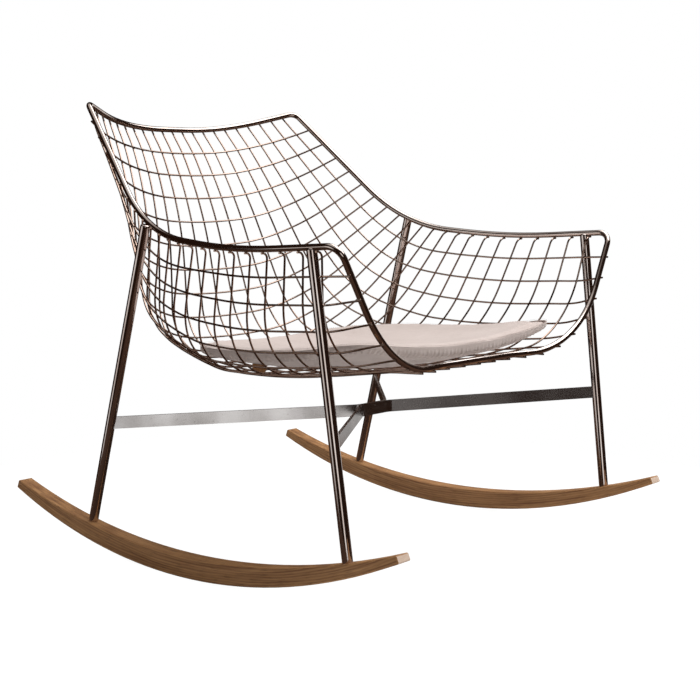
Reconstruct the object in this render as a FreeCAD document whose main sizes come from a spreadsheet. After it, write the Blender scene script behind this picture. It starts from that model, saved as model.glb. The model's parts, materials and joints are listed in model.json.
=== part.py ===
"""Rocking chair with a bucket shell of welded metal wires, four tube legs,
a crossed flat-bar stretcher, two curved wooden runners and a loose seat pad.

Frame: +Z up, the sitter faces -Y, the sitter's left is +X, the floor is Z = 0.
The chair is the same on both sides of the plane X = 0. Lengths are in millimetres.
"""
import FreeCAD, Part
import math
import os

Vector = FreeCAD.Vector
X_AXIS = Vector(1, 0, 0)
ORIGIN = Vector(0, 0, 0)

doc = FreeCAD.newDocument("wire_rocking_chair")

# Driving sizes
DRIVING_SIZES = [
    ("rim_dia", 10.0, "round rod of the rim"),
    ("wire_dia", 3.2, "wires of the shell"),
    ("weld_bite", 0.2, "how far two welded rods melt into each other"),
    ("wire_overhang", 3.0, "length of a wire end past the middle of the rim"),
    ("top_rail_x", 120.0, "rim: end of the straight middle of the top rail"),
    ("top_rail_y", 412.0, "rim: top rail behind the middle of the chair"),
    ("top_rail_z", 717.0, "rim: top rail above the floor"),
    ("top_rail_bend", 350.0, "rim: bend of the top rail"),
    ("top_corner_x", 256.0, "rim: corner of the back"),
    ("top_corner_forward", 71.0, "rim: corner of the back in front of the top rail"),
    ("top_corner_rise", 37.0, "rim: corner of the back above the top rail"),
    ("top_corner_bend", 20.0, "rim: bend at the corner of the back"),
    ("elbow_in", 28.0, "rim: where the back turns into the arm, in from the arm"),
    ("elbow_y", 112.0, "rim: where the back turns into the arm"),
    ("elbow_rise", 18.0, "rim: where the back turns into the arm, above the arm"),
    ("elbow_bend", 290.0, "rim: bend from the back to the arm"),
    ("arm_x", 350.0, "rim: middle of the arm"),
    ("arm_y", -117.0, "rim: middle of the arm"),
    ("arm_z", 519.0, "rim: middle of the arm"),
    ("arm_bend", 1000.0, "rim: bend of the arm"),
    ("arm_front_out", 2.0, "rim: front corner of the arm, out from the arm"),
    ("arm_front_y", -331.0, "rim: front corner of the arm"),
    ("arm_front_rise", 13.0, "rim: front corner of the arm, above the arm"),
    ("arm_front_bend", 22.0, "rim: bend at the front corner of the arm"),
    ("front_heel_in", 104.0, "rim: where the front rises to the arm, in from the arm"),
    ("front_heel_out", 8.0, "rim: where the front rises to the arm, in front of the arm's corner"),
    ("front_rail_z", 339.0, "rim: front rail above the floor"),
    ("front_heel_bend", 190.0, "rim: bend from the seat front to the arm"),
    ("front_rail_x", 95.0, "rim: end of the straight middle of the front rail"),
    ("front_rail_back", 30.0, "rim: front rail behind the place where the front rises"),
    ("front_rail_bend", 300.0, "rim: bend of the front rail"),
    ("back_top_in", 3.0, "middle line of the shell: top, in front of the top rail"),
    ("back_top_drop", 5.0, "middle line of the shell: top, below the top rail"),
    ("lumbar_forward", 75.0, "middle line of the shell: small of the back, in front of the top"),
    ("lumbar_drop", 115.0, "middle line of the shell: small of the back, below the top"),
    ("lumbar_bend", 640.0, "middle line of the shell: bend of the back"),
    ("seat_back_y", 277.0, "middle line of the shell: back of the seat"),
    ("seat_back_z", 318.0, "middle line of the shell: back of the seat"),
    ("seat_back_bend", 100.0, "middle line of the shell: bend from back to seat"),
    ("seat_low_y", 6.0, "middle line of the shell: lowest place"),
    ("seat_low_z", 290.0, "middle line of the shell: lowest place"),
    ("seat_low_bend", 1220.0, "middle line of the shell: dish of the seat"),
    ("seat_front_drop", 4.0, "middle line of the shell: front edge, below the front rail"),
    ("wall_lean_top", 58.0, "lean of the shell's side at the top rail, degrees"),
    ("wall_lean_shoulder", 27.0, "lean of the shell's side at the shoulder, degrees"),
    ("wall_lean_arm", 13.0, "lean of the shell's side at the arm, degrees"),
    ("wall_lean_front", 9.0, "lean of the shell's side at the front, degrees"),
    ("flat_half_top", 60.0, "half of the shallow middle at the top rail"),
    ("flat_half_hip", 90.0, "half of the shallow middle where the back meets the seat"),
    ("flat_half_arm", 178.0, "half of the shallow middle at the arm"),
    ("flat_half_front", 206.0, "half of the shallow middle at the front"),
    ("bow_angle", 5.5, "rise of the shallow middle at its ends, degrees"),
    ("lip_bend", 11.0, "bend of a cross wire where it turns out under the rim"),
    ("middle_gather", 0.05, "how much wider the cross wires are apart at the middle's ends"),
    ("spacing_top", 1.30, "cross wire spacing on the rim at the back's corner, to the others"),
    ("spacing_shoulder", 1.05, "cross wire spacing on the rim at the shoulder"),
    ("spacing_elbow", 0.72, "cross wire spacing on the rim at the elbow"),
    ("spacing_arm", 1.07, "cross wire spacing on the rim at the arm"),
    ("spacing_front", 1.10, "cross wire spacing on the rim at the arm's front corner"),
    ("leg_dia", 16.0, "leg tube"),
    ("leg_wall", 2.0, "leg tube"),
    ("leg_head", 12.0, "solid head of a leg below the rim"),
    ("leg_head_round", 3.0, "rounding of a leg's head"),
    ("leg_sink", 4.0, "how far the rim sits down into a leg's head"),
    ("rear_leg_out", 9.0, "how far a rear leg's head stands outside the middle of the rim"),
    ("rear_foot_y", 242.0, "middle of a rear leg's foot"),
    ("front_foot_y", -336.0, "middle of a front leg's foot"),
    ("runner_x", 340.0, "middle of a runner"),
    ("runner_width", 28.0, "runner"),
    ("runner_deep", 34.0, "runner: height in its middle"),
    ("runner_sole_bend", 1100.0, "runner: curve that rolls on the floor"),
    ("runner_sole_y", 27.0, "runner: where it touches the floor"),
    ("runner_top_bend", 1380.0, "runner: curve of the upper face"),
    ("runner_top_y", 30.0, "runner: lowest place of the upper face"),
    ("runner_front_y", -441.0, "runner: front end of the sole"),
    ("runner_rear_y", 441.0, "runner: rear end of the sole"),
    ("runner_ease", 1.5, "runner: eased edges"),
    ("bolt_dia", 6.0, "bolt that holds a leg to its runner"),
    ("bolt_grip", 11.0, "wood between a bolt's head and the leg"),
    ("bolt_head_dia", 10.0, "bolt head"),
    ("bolt_head_high", 5.0, "bolt head"),
    ("bolt_socket", 2.5, "half of the hexagon socket across its corners"),
    ("bolt_socket_deep", 3.0, "hexagon socket"),
    ("bolt_reach", 20.0, "bolt inside the leg"),
    ("plug_long", 26.0, "threaded plug in a leg's foot"),
    ("hole_clearance", 0.25, "play around a bolt and its head in the wood"),
    ("plug_clearance", 0.05, "play of the plug in the tube and of the bolt in the plug"),
    ("bar_thick", 5.0, "flat bar of the stretcher"),
    ("bar_high", 20.0, "flat bar of the stretcher"),
    ("bar_meet", 34.0, "half of the length where the two bars lie back to back"),
    ("bar_meet_y", -90.0, "place where the two bars meet"),
    ("bar_bend", 22.0, "bend of a flat bar"),
    ("bar_rear_z", 223.0, "stretcher at the rear legs"),
    ("bar_slope", 3.0, "rise of the stretcher towards the front, degrees"),
    ("pad_side_out", 2.6, "seat pad: its sides past the middle of the wires they lie over"),
    ("pad_front_in", 11.0, "seat pad: its front behind the front rail"),
    ("pad_rear_in", 117.0, "seat pad: its rear in front of the back of the seat"),
    ("pad_corner_rear", 170.0, "seat pad: rear corners"),
    ("pad_corner_front", 60.0, "seat pad: front corners"),
    ("pad_front_bow", 7.0, "seat pad: how far the front edge bows out"),
    ("pad_thick", 30.5, "seat pad: between its two dished faces in the middle"),
    ("pad_dish", 1350.0, "seat pad: hollow of the top"),
    ("pad_dish_y", 10.0, "seat pad: lowest place of the top"),
    ("pad_belly", 1050.0, "seat pad: curve of the underside"),
    ("pad_belly_y", -10.0, "seat pad: lowest place of the underside"),
    ("pad_edge_round", 7.0, "seat pad: rounded edges"),
    ("pad_gap", 0.4, "air between the pad and the wires"),
    ("tab_long", 30.0, "leather tab under the pad"),
    ("tab_thick", 2.0, "leather tab under the pad"),
    ("tab_drop", 12.0, "leather tab under the pad"),
    ("tab_root", 2.0, "part of the tab that is sewn into the pad"),
]

CROSS_WIRES = 21
LENGTH_PAIRS = 10
SPANS = CROSS_WIRES + 1
HALF_CELLS = LENGTH_PAIRS + 1
# Places along the shell, from the top rail at 0 to the front rail at 1
SHOULDER = 6.0 / SPANS
LEAN_SHOULDER = 8.0 / SPANS
HIP = 10.0 / SPANS
LEAN_ARM = 13.0 / SPANS
FLAT_ARM = 14.0 / SPANS
ARM = 16.0 / SPANS
LIP_START = 7.0 / SPANS
LIP_FULL = 15.0 / SPANS
REAR_LEG = 8.5 / SPANS
FRONT_LEG = 20.7 / SPANS
# Most of a run that the bends at its ends may take up
BENT_SHARE = 0.98
# Cell of the shell that the tab hangs through: wires before it, counted from the top and the middle
TAB_CROSS_CELL = 15.5
TAB_LENGTH_CELL = -4.5
# Pair of lengthwise wires that the sides of the pad lie over
PAD_SIDE_WIRE = 6

sheet = doc.addObject("Spreadsheet::Sheet", "Sizes")
for row, (alias, number, meaning) in enumerate(DRIVING_SIZES, start=1):
    sheet.set("A%d" % row, meaning)
    sheet.set("B%d" % row, str(number))
    sheet.setAlias("B%d" % row, alias)
doc.recompute()
size = {alias: float(sheet.get(alias)) for alias, number, meaning in DRIVING_SIZES}

nodes = []


def keep(part, label):
    """Give a finished sub-part the name of its node."""
    part.Label = label
    nodes.append(part)
    return part


# Paths of straight runs and tangent arcs

def unit(vector):
    """Direction of a vector."""
    return Vector(vector) / vector.Length


def mirrored(point):
    """The same point on the other side of the chair."""
    return Vector(-point.x, point.y, point.z)


def arc_edge(start, middle, end):
    """An arc through three points, or a straight run if they are in line."""
    bulge = (start + end) * 0.5 - middle
    if bulge.Length < 1e-5:
        return Part.LineSegment(start, end).toShape()
    return Part.Arc(start, middle, end).toShape()


def tangent_arc(start, direction, end):
    """The arc that leaves start along direction and reaches end."""
    chord = end - start
    sideways = direction - unit(chord) * direction.dot(unit(chord))
    if sideways.Length < 1e-7:
        return Part.LineSegment(start, end).toShape()
    half_turn = math.atan2(sideways.Length, direction.dot(unit(chord)))
    lift = unit(sideways) * (0.5 * chord.Length * math.tan(0.5 * half_turn))
    return arc_edge(start, (start + end) * 0.5 + lift, end)


def rounded_path(corners, bends):
    """Straight runs between corners, with an arc of the given radius at each inner corner.
    Where the bends at the two ends of a run don't both fit on it, they are tighter."""
    runs = [after - before for before, after in zip(corners, corners[1:])]
    setbacks = [bend * math.tan(0.5 * before.getAngle(after))
                for before, after, bend in zip(runs, runs[1:], bends)]
    taken = [first + last for first, last in zip([0.0] + setbacks, setbacks + [0.0])]
    shares = [BENT_SHARE * run.Length / max(length, BENT_SHARE * run.Length)
              for run, length in zip(runs, taken)]
    edges = []
    place = corners[0]
    for corner, before, after, setback, fits in zip(
            corners[1:], runs, runs[1:], setbacks, map(min, shares, shares[1:])):
        inward = unit(before)
        outward = unit(after)
        setback *= fits
        arc_start = corner - inward * setback
        arc_end = corner + outward * setback
        edges.append(Part.LineSegment(place, arc_start).toShape())
        edges.append(tangent_arc(arc_start, inward, arc_end))
        place = arc_end
    edges.append(Part.LineSegment(place, corners[-1]).toShape())
    return edges


def walk(edges, distance):
    """Point and direction at a distance along a path."""
    for edge in edges:
        if distance <= edge.Length or edge is edges[-1]:
            parameter = edge.getParameterByLength(max(0.0, min(distance, edge.Length)))
            return edge.valueAt(parameter), unit(edge.tangentAt(parameter))
        distance -= edge.Length


def total_length(edges):
    """Length of a path."""
    return sum(edge.Length for edge in edges)


def smooth_path(points):
    """Pairs of tangent arcs through all the points."""
    chords = [after - before for before, after in zip(points, points[1:])]
    directions = [None] * len(points)
    for place in range(1, len(points) - 1):
        before = chords[place - 1]
        after = chords[place]
        directions[place] = unit(unit(before) * after.Length + unit(after) * before.Length)
    for place, neighbour, chord in ((0, 1, chords[0]), (-1, -2, chords[-1])):
        along = unit(chord)
        inner = directions[neighbour]
        directions[place] = unit(along * (2.0 * inner.dot(along)) - inner)
    edges = []
    for place, chord in enumerate(chords):
        leave = directions[place]
        arrive = directions[place + 1]
        both = chord.dot(leave + arrive)
        spread = 2.0 * (1.0 - leave.dot(arrive))
        if spread < 1e-9:
            reach = chord.dot(chord) / (2.0 * both)
        else:
            reach = (math.sqrt(both * both + spread * chord.dot(chord)) - both) / spread
        joint = (points[place] + points[place + 1] + (leave - arrive) * reach) * 0.5
        edges.append(tangent_arc(points[place], leave, joint))
        edges.append(tangent_arc(points[place + 1], arrive * -1.0, joint))
    return edges


def between(share, stations):
    """Straight interpolation in a list of (place, value)."""
    for (low, low_value), (high, high_value) in zip(stations, stations[1:]):
        if share <= high:
            return low_value + (high_value - low_value) * (share - low) / (high - low)
    return stations[-1][1]


# Middle line of the rim: half a loop from the top rail to the front rail

arm = Vector(size["arm_x"], size["arm_y"], size["arm_z"])
top_rail = Vector(size["top_rail_x"], size["top_rail_y"], size["top_rail_z"])
front_heel = Vector(arm.x - size["front_heel_in"], size["arm_front_y"] - size["front_heel_out"],
                    size["front_rail_z"])
front_rail = Vector(size["front_rail_x"], front_heel.y + size["front_rail_back"], front_heel.z)
BENT_CORNERS = ["top_rail", "top_corner", "elbow", "arm", "arm_front", "front_heel", "front_rail"]
rim_corners = [
    Vector(0, top_rail.y, top_rail.z),
    top_rail,
    Vector(size["top_corner_x"], top_rail.y - size["top_corner_forward"],
           top_rail.z + size["top_corner_rise"]),
    Vector(arm.x - size["elbow_in"], size["elbow_y"], arm.z + size["elbow_rise"]),
    arm,
    Vector(arm.x + size["arm_front_out"], size["arm_front_y"], arm.z + size["arm_front_rise"]),
    front_heel,
    front_rail,
    Vector(0, front_rail.y, front_rail.z),
]
half_rim = rounded_path(rim_corners, [size[name + "_bend"] for name in BENT_CORNERS])


def length_to_corner(name):
    """Length of the half rim from the top rail to the middle of one of its bends."""
    before = 2 * BENT_CORNERS.index(name) + 1
    return total_length(half_rim[:before]) + 0.5 * half_rim[before].Length


top_length = length_to_corner("top_corner")
side_end = length_to_corner("arm_front")
side_length = side_end - top_length
front_length = total_length(half_rim) - side_end

# Middle line of the shell, in the plane X = 0
back_top = Vector(0, top_rail.y - size["back_top_in"], top_rail.z - size["back_top_drop"])
middle_corners = [
    back_top,
    back_top - Vector(0, size["lumbar_forward"], size["lumbar_drop"]),
    Vector(0, size["seat_back_y"], size["seat_back_z"]),
    Vector(0, size["seat_low_y"], size["seat_low_z"]),
    Vector(0, front_rail.y, front_rail.z - size["seat_front_drop"]),
]
middle_bends = [size[name + "_bend"] for name in ("lumbar", "seat_back", "seat_low")]
middle_line = rounded_path(middle_corners, middle_bends)
middle_length = total_length(middle_line)

rim_to_wire = 0.5 * (size["rim_dia"] + size["wire_dia"]) - size["weld_bite"]
wire_to_wire = size["wire_dia"] - size["weld_bite"]

# How far apart the cross wires are on the side of the rim, to one another
SIDE_SPACING = [
    (0.0, size["spacing_top"]), (SHOULDER, size["spacing_shoulder"]), (HIP, size["spacing_elbow"]),
    (ARM, size["spacing_arm"]), (1.0, size["spacing_front"])]


def gathered(share):
    """Share of the rim's side that lies before a wire, with the wires spaced as in SIDE_SPACING."""
    passed = 0.0
    whole = 0.0
    for (low, low_value), (high, high_value) in zip(SIDE_SPACING, SIDE_SPACING[1:]):
        whole += 0.5 * (low_value + high_value) * (high - low)
        stop = max(low, min(high, share))
        passed += 0.5 * (low_value + between(stop, SIDE_SPACING)) * (stop - low)
    return passed / whole


def middle_share(share):
    """Share of the middle line that lies before a wire: a little wider apart on the back."""
    return share + size["middle_gather"] * math.sin(2.0 * math.pi * share) / (2.0 * math.pi)


def side_rim(share):
    """Point and direction of the side of the rim, from the back's corner to the arm's."""
    return walk(half_rim, top_length + side_length * gathered(share))


def wall_lean(share):
    """Lean of the shell's side away from the depth of the section, in radians."""
    return math.radians(between(share, [
        (0.0, size["wall_lean_top"]), (LEAN_SHOULDER, size["wall_lean_shoulder"]),
        (LEAN_ARM, size["wall_lean_arm"]), (1.0, size["wall_lean_front"])]))


def flat_half(share):
    """Half width of the shallow middle of a section."""
    return between(share, [
        (0.0, size["flat_half_top"]), (HIP, size["flat_half_hip"]),
        (FLAT_ARM, size["flat_half_arm"]), (1.0, size["flat_half_front"])])


def lip_turn(share):
    """How far a cross wire turns out at the rim, as a share of the turn to level."""
    ramp = max(0.0, min(1.0, (share - LIP_START) / (LIP_FULL - LIP_START)))
    return ramp * ramp * (3.0 - 2.0 * ramp)


class Section:
    """Cross wire of the shell: a flat curve of a shallow bow, two corners, walls and lips."""

    def __init__(self, share):
        rim_point, rim_direction = side_rim(share)
        self.middle = walk(middle_line, middle_length * middle_share(share))[0]
        lean = wall_lean(share)
        end_lean = lean + lip_turn(share) * (0.5 * math.pi - lean)
        depth = unit(Vector(0, rim_point.y - self.middle.y, rim_point.z - self.middle.z))
        end_direction = X_AXIS * math.sin(end_lean) + depth * math.cos(end_lean)
        outward = unit(rim_direction.cross(end_direction))
        if outward.z > 0:
            outward = outward * -1.0
        under_rim = rim_point + outward * rim_to_wire
        self.depth = unit(Vector(0, under_rim.y - self.middle.y, under_rim.z - self.middle.z))
        reach = (under_rim - self.middle).dot(self.depth)
        lip = size["lip_bend"]
        wall_x = under_rim.x - lip * (math.cos(lean) - math.cos(end_lean))
        wall_w = reach - lip * (math.sin(end_lean) - math.sin(lean))
        bow = math.radians(size["bow_angle"])
        flat = flat_half(share)
        bow_rise = flat * math.tan(0.5 * bow)
        # Radius of the corner and length of the wall that reach from the bow to the lip
        across = wall_x - flat
        along = wall_w - bow_rise
        a, b = math.cos(lean) - math.sin(bow), math.sin(lean)
        c, d = math.cos(bow) - math.sin(lean), math.cos(lean)
        self.corner_bend = (across * d - along * b) / (a * d - b * c)
        self.wall = (along - self.corner_bend * c) / d
        corner_x = flat + self.corner_bend * a
        corner_w = bow_rise + self.corner_bend * c
        self.tail = (math.sin(end_lean), math.cos(end_lean))
        self.outline = [(flat, bow_rise), (corner_x, corner_w), (wall_x, wall_w), (under_rim.x, reach)]
        self.directions = [bow, 0.5 * math.pi - lean, 0.5 * math.pi - lean, 0.5 * math.pi - end_lean]
        self.half = self.half_edges()
        self.half_length = total_length(self.half)

    def place(self, x, w):
        """Point of the section from its sideways and depth coordinates."""
        return self.middle + X_AXIS * x + self.depth * w

    def half_edges(self):
        """Edges of the left half, from the middle to the rim."""
        edges = []
        start = self.place(0.0, 0.0)
        heading = 0.0
        for (x, w), next_heading in zip(self.outline, self.directions):
            end = self.place(x, w)
            direction = X_AXIS * math.cos(heading) + self.depth * math.sin(heading)
            if (end - start).Length > 0.01:
                edges.append(tangent_arc(start, direction, end))
                start = end
            heading = next_heading
        return edges

    def edges(self):
        """Edges of the whole wire, with its two ends past the rim."""
        x, w = self.outline[-1]
        overhang = size["wire_overhang"]
        tip = self.place(x + overhang * self.tail[0], w + overhang * self.tail[1])
        left = self.half[1:] + [Part.LineSegment(self.place(x, w), tip).toShape()]
        flat_x, flat_w = self.outline[0]
        bow = arc_edge(self.place(-flat_x, flat_w), self.place(0.0, 0.0), self.place(flat_x, flat_w))
        mirror = [edge.mirror(ORIGIN, X_AXIS) for edge in reversed(left)]
        return mirror + [bow] + left

    def crossing(self, cells):
        """Point and direction where a lengthwise wire crosses, counted in cells from the middle."""
        point, direction = walk(self.half, self.half_length * abs(cells) / HALF_CELLS)
        if cells < 0:
            return mirrored(point), Vector(direction.x, -direction.y, -direction.z)
        return point, direction


sections = [Section(number / SPANS) for number in range(1, CROSS_WIRES + 1)]


def lengthwise_points(cells):
    """Points of a lengthwise wire, outside the cross wires and under the rails."""
    crossings = [section.crossing(cells) for section in sections]
    on_surface = [point for point, direction in crossings]
    top = walk(half_rim, top_length * cells / HALF_CELLS)
    front = walk(half_rim, side_end + front_length * (1.0 - cells / HALF_CELLS))
    points = []
    for place, (point, direction) in enumerate(crossings):
        before = on_surface[place - 1] if place else top[0]
        after = on_surface[place + 1] if place + 1 < len(on_surface) else front[0]
        outward = unit(direction.cross(after - before))
        points.append(point + outward * wire_to_wire)
    ends = []
    for (rail, along), nearest, sense in ((top, points[0], -1.0), (front, points[-1], 1.0)):
        leave = unit(rail - nearest)
        outward = unit(along.cross(leave)) * sense
        if outward.z > 0:
            outward = outward * -1.0
        under = rail + outward * rim_to_wire
        tip = under + unit(under - nearest) * size["wire_overhang"]
        ends.append((under, tip))
    (top_under, top_tip), (front_under, front_tip) = ends
    return [top_tip, top_under] + points + [front_under, front_tip]


# Rods swept along their paths

def rod(name, edges, dia_alias):
    """A round rod along a path, as thick as its cell says."""
    path = doc.addObject("Part::Feature", name + "_path")
    path.Shape = Part.Wire(edges)
    start, direction = walk(edges, 0.0)
    circle = doc.addObject("Part::Circle", name + "_profile")
    circle.setExpression("Radius", "Sizes.%s / 2" % dia_alias)
    circle.Placement = FreeCAD.Placement(start, FreeCAD.Rotation(Vector(0, 0, 1), direction))
    sweep = doc.addObject("Part::Sweep", name)
    sweep.Sections = [circle]
    sweep.Spine = (path, [])
    sweep.Solid = True
    sweep.Frenet = False
    return sweep


def mirror_twin(part, name):
    """The same piece on the other side of the chair."""
    twin = doc.addObject("Part::Mirroring", name)
    twin.Source = part
    twin.Normal = X_AXIS
    return twin


def group(name, parts):
    """Separate solids that share one node."""
    compound = doc.addObject("Part::Compound", name)
    compound.Links = parts
    return compound


whole_rim = half_rim + [edge.mirror(ORIGIN, X_AXIS) for edge in reversed(half_rim)]
rim = keep(rod("Rim", whole_rim, "rim_dia"), "rim_loop")

for number, section in enumerate(sections, start=1):
    name = "cross_wire_%02d" % number
    keep(rod(name + "_rod", section.edges(), "wire_dia"), name)

keep(rod("lengthwise_wire_00_rod", smooth_path(lengthwise_points(0)), "wire_dia"), "lengthwise_wire_middle")
for number in range(1, LENGTH_PAIRS + 1):
    name = "lengthwise_wires_%02d" % number
    left_wire = rod(name + "_left", smooth_path(lengthwise_points(number)), "wire_dia")
    right_wire = mirror_twin(left_wire, name + "_right")
    keep(group(name + "_pair", [left_wire, right_wire]), name)


# Runners

def circle_height(y, centre_y, bend, lowest_z):
    """Height of an arc that is lowest at centre_y."""
    return lowest_z + bend - math.sqrt(bend * bend - (y - centre_y) ** 2)


def sole_z(y):
    """Height of the runner's sole."""
    return circle_height(y, size["runner_sole_y"], size["runner_sole_bend"], 0.0)


def runner_top_z(y):
    """Height of the runner's upper face."""
    return circle_height(y, size["runner_top_y"], size["runner_top_bend"], size["runner_deep"])


def end_top(y):
    """Top of a runner's end, which is cut square to the sole."""
    sole_centre = Vector(0, size["runner_sole_y"], size["runner_sole_bend"])
    sole_end = Vector(0, y, sole_z(y))
    inward = unit(sole_centre - sole_end)
    thick = 0.0
    for attempt in range(20):
        corner = sole_end + inward * thick
        thick += (runner_top_z(corner.y) - corner.z) / inward.z
    return sole_end + inward * thick


def origin_plane(body, role):
    """One of a body's own origin planes."""
    return [feature for feature in body.Origin.OriginFeatures if feature.Role == role][0]


def new_sketch(body, name, role):
    """A sketch on one of a body's origin planes."""
    sketch = body.newObject("Sketcher::SketchObject", name)
    sketch.AttachmentSupport = [(origin_plane(body, role), "")]
    sketch.MapMode = "FlatFace"
    return sketch


def leg_foot(side, foot_y):
    """Middle of a leg's foot on the runner's upper face."""
    return Vector(side * size["runner_x"], foot_y, runner_top_z(foot_y))


def leg_top(side, share):
    """End of a leg's middle line at the rim: a rear leg stands outside the wires."""
    point = side_rim(share)[0]
    out = size["rear_leg_out"] if share == REAR_LEG else 0.0
    return Vector(side * (point.x + out), point.y, point.z)


LEG_PLACES = [("rear", REAR_LEG, size["rear_foot_y"]), ("front", FRONT_LEG, size["front_foot_y"])]
SIDES = [("left", 1), ("right", -1)]


def runner(side_name, side):
    """A wooden runner with a stepped hole for each leg's bolt."""
    body = doc.addObject("PartDesign::Body", "Runner_" + side_name)
    sketch = new_sketch(body, "RunnerOutline_" + side_name, "YZ_Plane")
    front = Vector(size["runner_front_y"], sole_z(size["runner_front_y"]), 0)
    rear = Vector(size["runner_rear_y"], sole_z(size["runner_rear_y"]), 0)
    low = Vector(size["runner_sole_y"], 0, 0)
    front_top = end_top(size["runner_front_y"])
    rear_top = end_top(size["runner_rear_y"])
    front_up = Vector(front_top.y, front_top.z, 0)
    rear_up = Vector(rear_top.y, rear_top.z, 0)
    saddle = Vector(size["runner_top_y"], size["runner_deep"], 0)
    sketch.addGeometry([
        Part.Arc(front, low, rear), Part.LineSegment(rear, rear_up),
        Part.Arc(rear_up, saddle, front_up), Part.LineSegment(front_up, front)])
    pad = body.newObject("PartDesign::Pad", "RunnerBoard_" + side_name)
    pad.Profile = sketch
    pad.Midplane = True
    pad.setExpression("Length", "Sizes.runner_width")
    doc.recompute()
    ease = body.newObject("PartDesign::Chamfer", "RunnerEdges_" + side_name)
    ease.Base = (pad, ["Edge%d" % number for number in range(1, len(pad.Shape.Edges) + 1)])
    ease.setExpression("Size", "Sizes.runner_ease")
    body.Placement = FreeCAD.Placement(Vector(side * size["runner_x"], 0, 0), FreeCAD.Rotation())
    for place, share, foot_y in LEG_PLACES:
        foot = leg_foot(side, foot_y) - Vector(side * size["runner_x"], 0, 0)
        down = unit(leg_foot(side, foot_y) - leg_top(side, share))
        turn = FreeCAD.Rotation(Vector(0, 0, 1), down)
        shank = body.newObject("PartDesign::SubtractiveCylinder", "Shank_%s_%s" % (place, side_name))
        shank.setExpression("Radius", "Sizes.bolt_dia / 2 + Sizes.hole_clearance")
        shank.Height = 3.0 * size["bolt_grip"]
        shank.Placement = FreeCAD.Placement(foot - down * size["bolt_grip"], turn)
        bore = body.newObject("PartDesign::SubtractiveCylinder", "Bore_%s_%s" % (place, side_name))
        bore.setExpression("Radius", "Sizes.bolt_head_dia / 2 + Sizes.hole_clearance")
        bore.Height = 2.0 * size["runner_deep"]
        bore.Placement = FreeCAD.Placement(foot + down * size["bolt_grip"], turn)
    doc.recompute()
    return keep(body, "runner_" + side_name)


for side_name, side in SIDES:
    runner(side_name, side)


# Legs, with their foot plugs and bolts

def cylinder(name, radius, height, base, direction):
    """A cylinder from base along direction; radius and height are expressions or numbers."""
    solid = doc.addObject("Part::Cylinder", name)
    for field, value in (("Radius", radius), ("Height", height)):
        if isinstance(value, str):
            solid.setExpression(field, value)
        else:
            setattr(solid, field, value)
    solid.Placement = FreeCAD.Placement(base, FreeCAD.Rotation(Vector(0, 0, 1), direction))
    return solid


def cut(name, base, tool):
    """Base without tool."""
    result = doc.addObject("Part::Cut", name)
    result.Base = base
    result.Tool = tool
    return result


def runner_face(name):
    """Solid whose lower boundary is the runner's upper face."""
    centre_z = size["runner_deep"] + size["runner_top_bend"]
    reach = size["runner_x"] + size["runner_width"]
    return cylinder(name, "Sizes.runner_top_bend", 2.0 * reach,
                    Vector(-reach, size["runner_top_y"], centre_z), X_AXIS)


plugs = []
bolts = []
for place, share, foot_y in LEG_PLACES:
    for side_name, side in SIDES:
        tag = "%s_%s" % (place, side_name)
        foot = leg_foot(side, foot_y)
        top = leg_top(side, share)
        up = unit(top - foot)
        head = 0.5 * size["rim_dia"] - size["leg_sink"]
        length = (top - foot).Length - head
        stub = size["leg_dia"]
        outer = cylinder("LegRod_" + tag, "Sizes.leg_dia / 2", length + stub, foot - up * stub, up)
        doc.recompute()
        far_edge = max(range(len(outer.Shape.Edges)), key=lambda index: outer.Shape.Edges[index].CenterOfMass.z)
        rounded = doc.addObject("Part::Fillet", "LegHead_" + tag)
        rounded.Base = outer
        rounded.Edges = [(far_edge + 1, size["leg_head_round"], size["leg_head_round"])]
        bore = cylinder("LegBore_" + tag, "Sizes.leg_dia / 2 - Sizes.leg_wall",
                        length + stub - size["leg_head"], foot - up * stub, up)
        tube = cut("LegTube_" + tag, rounded, bore)
        standing = doc.addObject("Part::Common", "LegFoot_" + tag)
        standing.Base = tube
        standing.Tool = runner_face("LegTrim_" + tag)
        leg = cut("Leg_" + tag, standing, rim)
        keep(leg, "leg_" + tag)

        plug_rod = cylinder("PlugRod_" + tag, "Sizes.leg_dia / 2 - Sizes.leg_wall - Sizes.plug_clearance",
                            size["plug_long"] + stub, foot - up * stub, up)
        plug_hole = cylinder("PlugHole_" + tag, "Sizes.bolt_dia / 2 + Sizes.plug_clearance",
                             size["bolt_reach"] + stub + 1.0, foot - up * stub, up)
        plug_body = cut("PlugBody_" + tag, plug_rod, plug_hole)
        plug = doc.addObject("Part::Common", "Plug_" + tag)
        plug.Base = plug_body
        plug.Tool = runner_face("PlugTrim_" + tag)
        plugs.append(plug)

        seat = foot - up * size["bolt_grip"]
        shank = cylinder("BoltShank_" + tag, "Sizes.bolt_dia / 2", "Sizes.bolt_grip + Sizes.bolt_reach", seat, up)
        bolt_head = cylinder("BoltHead_" + tag, "Sizes.bolt_head_dia / 2", "Sizes.bolt_head_high",
                             seat - up * size["bolt_head_high"], up)
        blank = doc.addObject("Part::Fuse", "BoltBlank_" + tag)
        blank.Base = shank
        blank.Tool = bolt_head
        socket = doc.addObject("Part::Prism", "BoltSocket_" + tag)
        socket.Polygon = 6
        socket.setExpression("Circumradius", "Sizes.bolt_socket")
        socket.setExpression("Height", "Sizes.bolt_socket_deep")
        socket.Placement = FreeCAD.Placement(seat - up * size["bolt_head_high"],
                                             FreeCAD.Rotation(Vector(0, 0, 1), up))
        bolts.append(cut("Bolt_" + tag, blank, socket))

keep(group("LegPlugs", plugs), "leg_foot_plugs")
keep(group("RunnerBolts", bolts), "runner_bolts")


# Stretcher: two bent flat bars on edge that meet back to back

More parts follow.
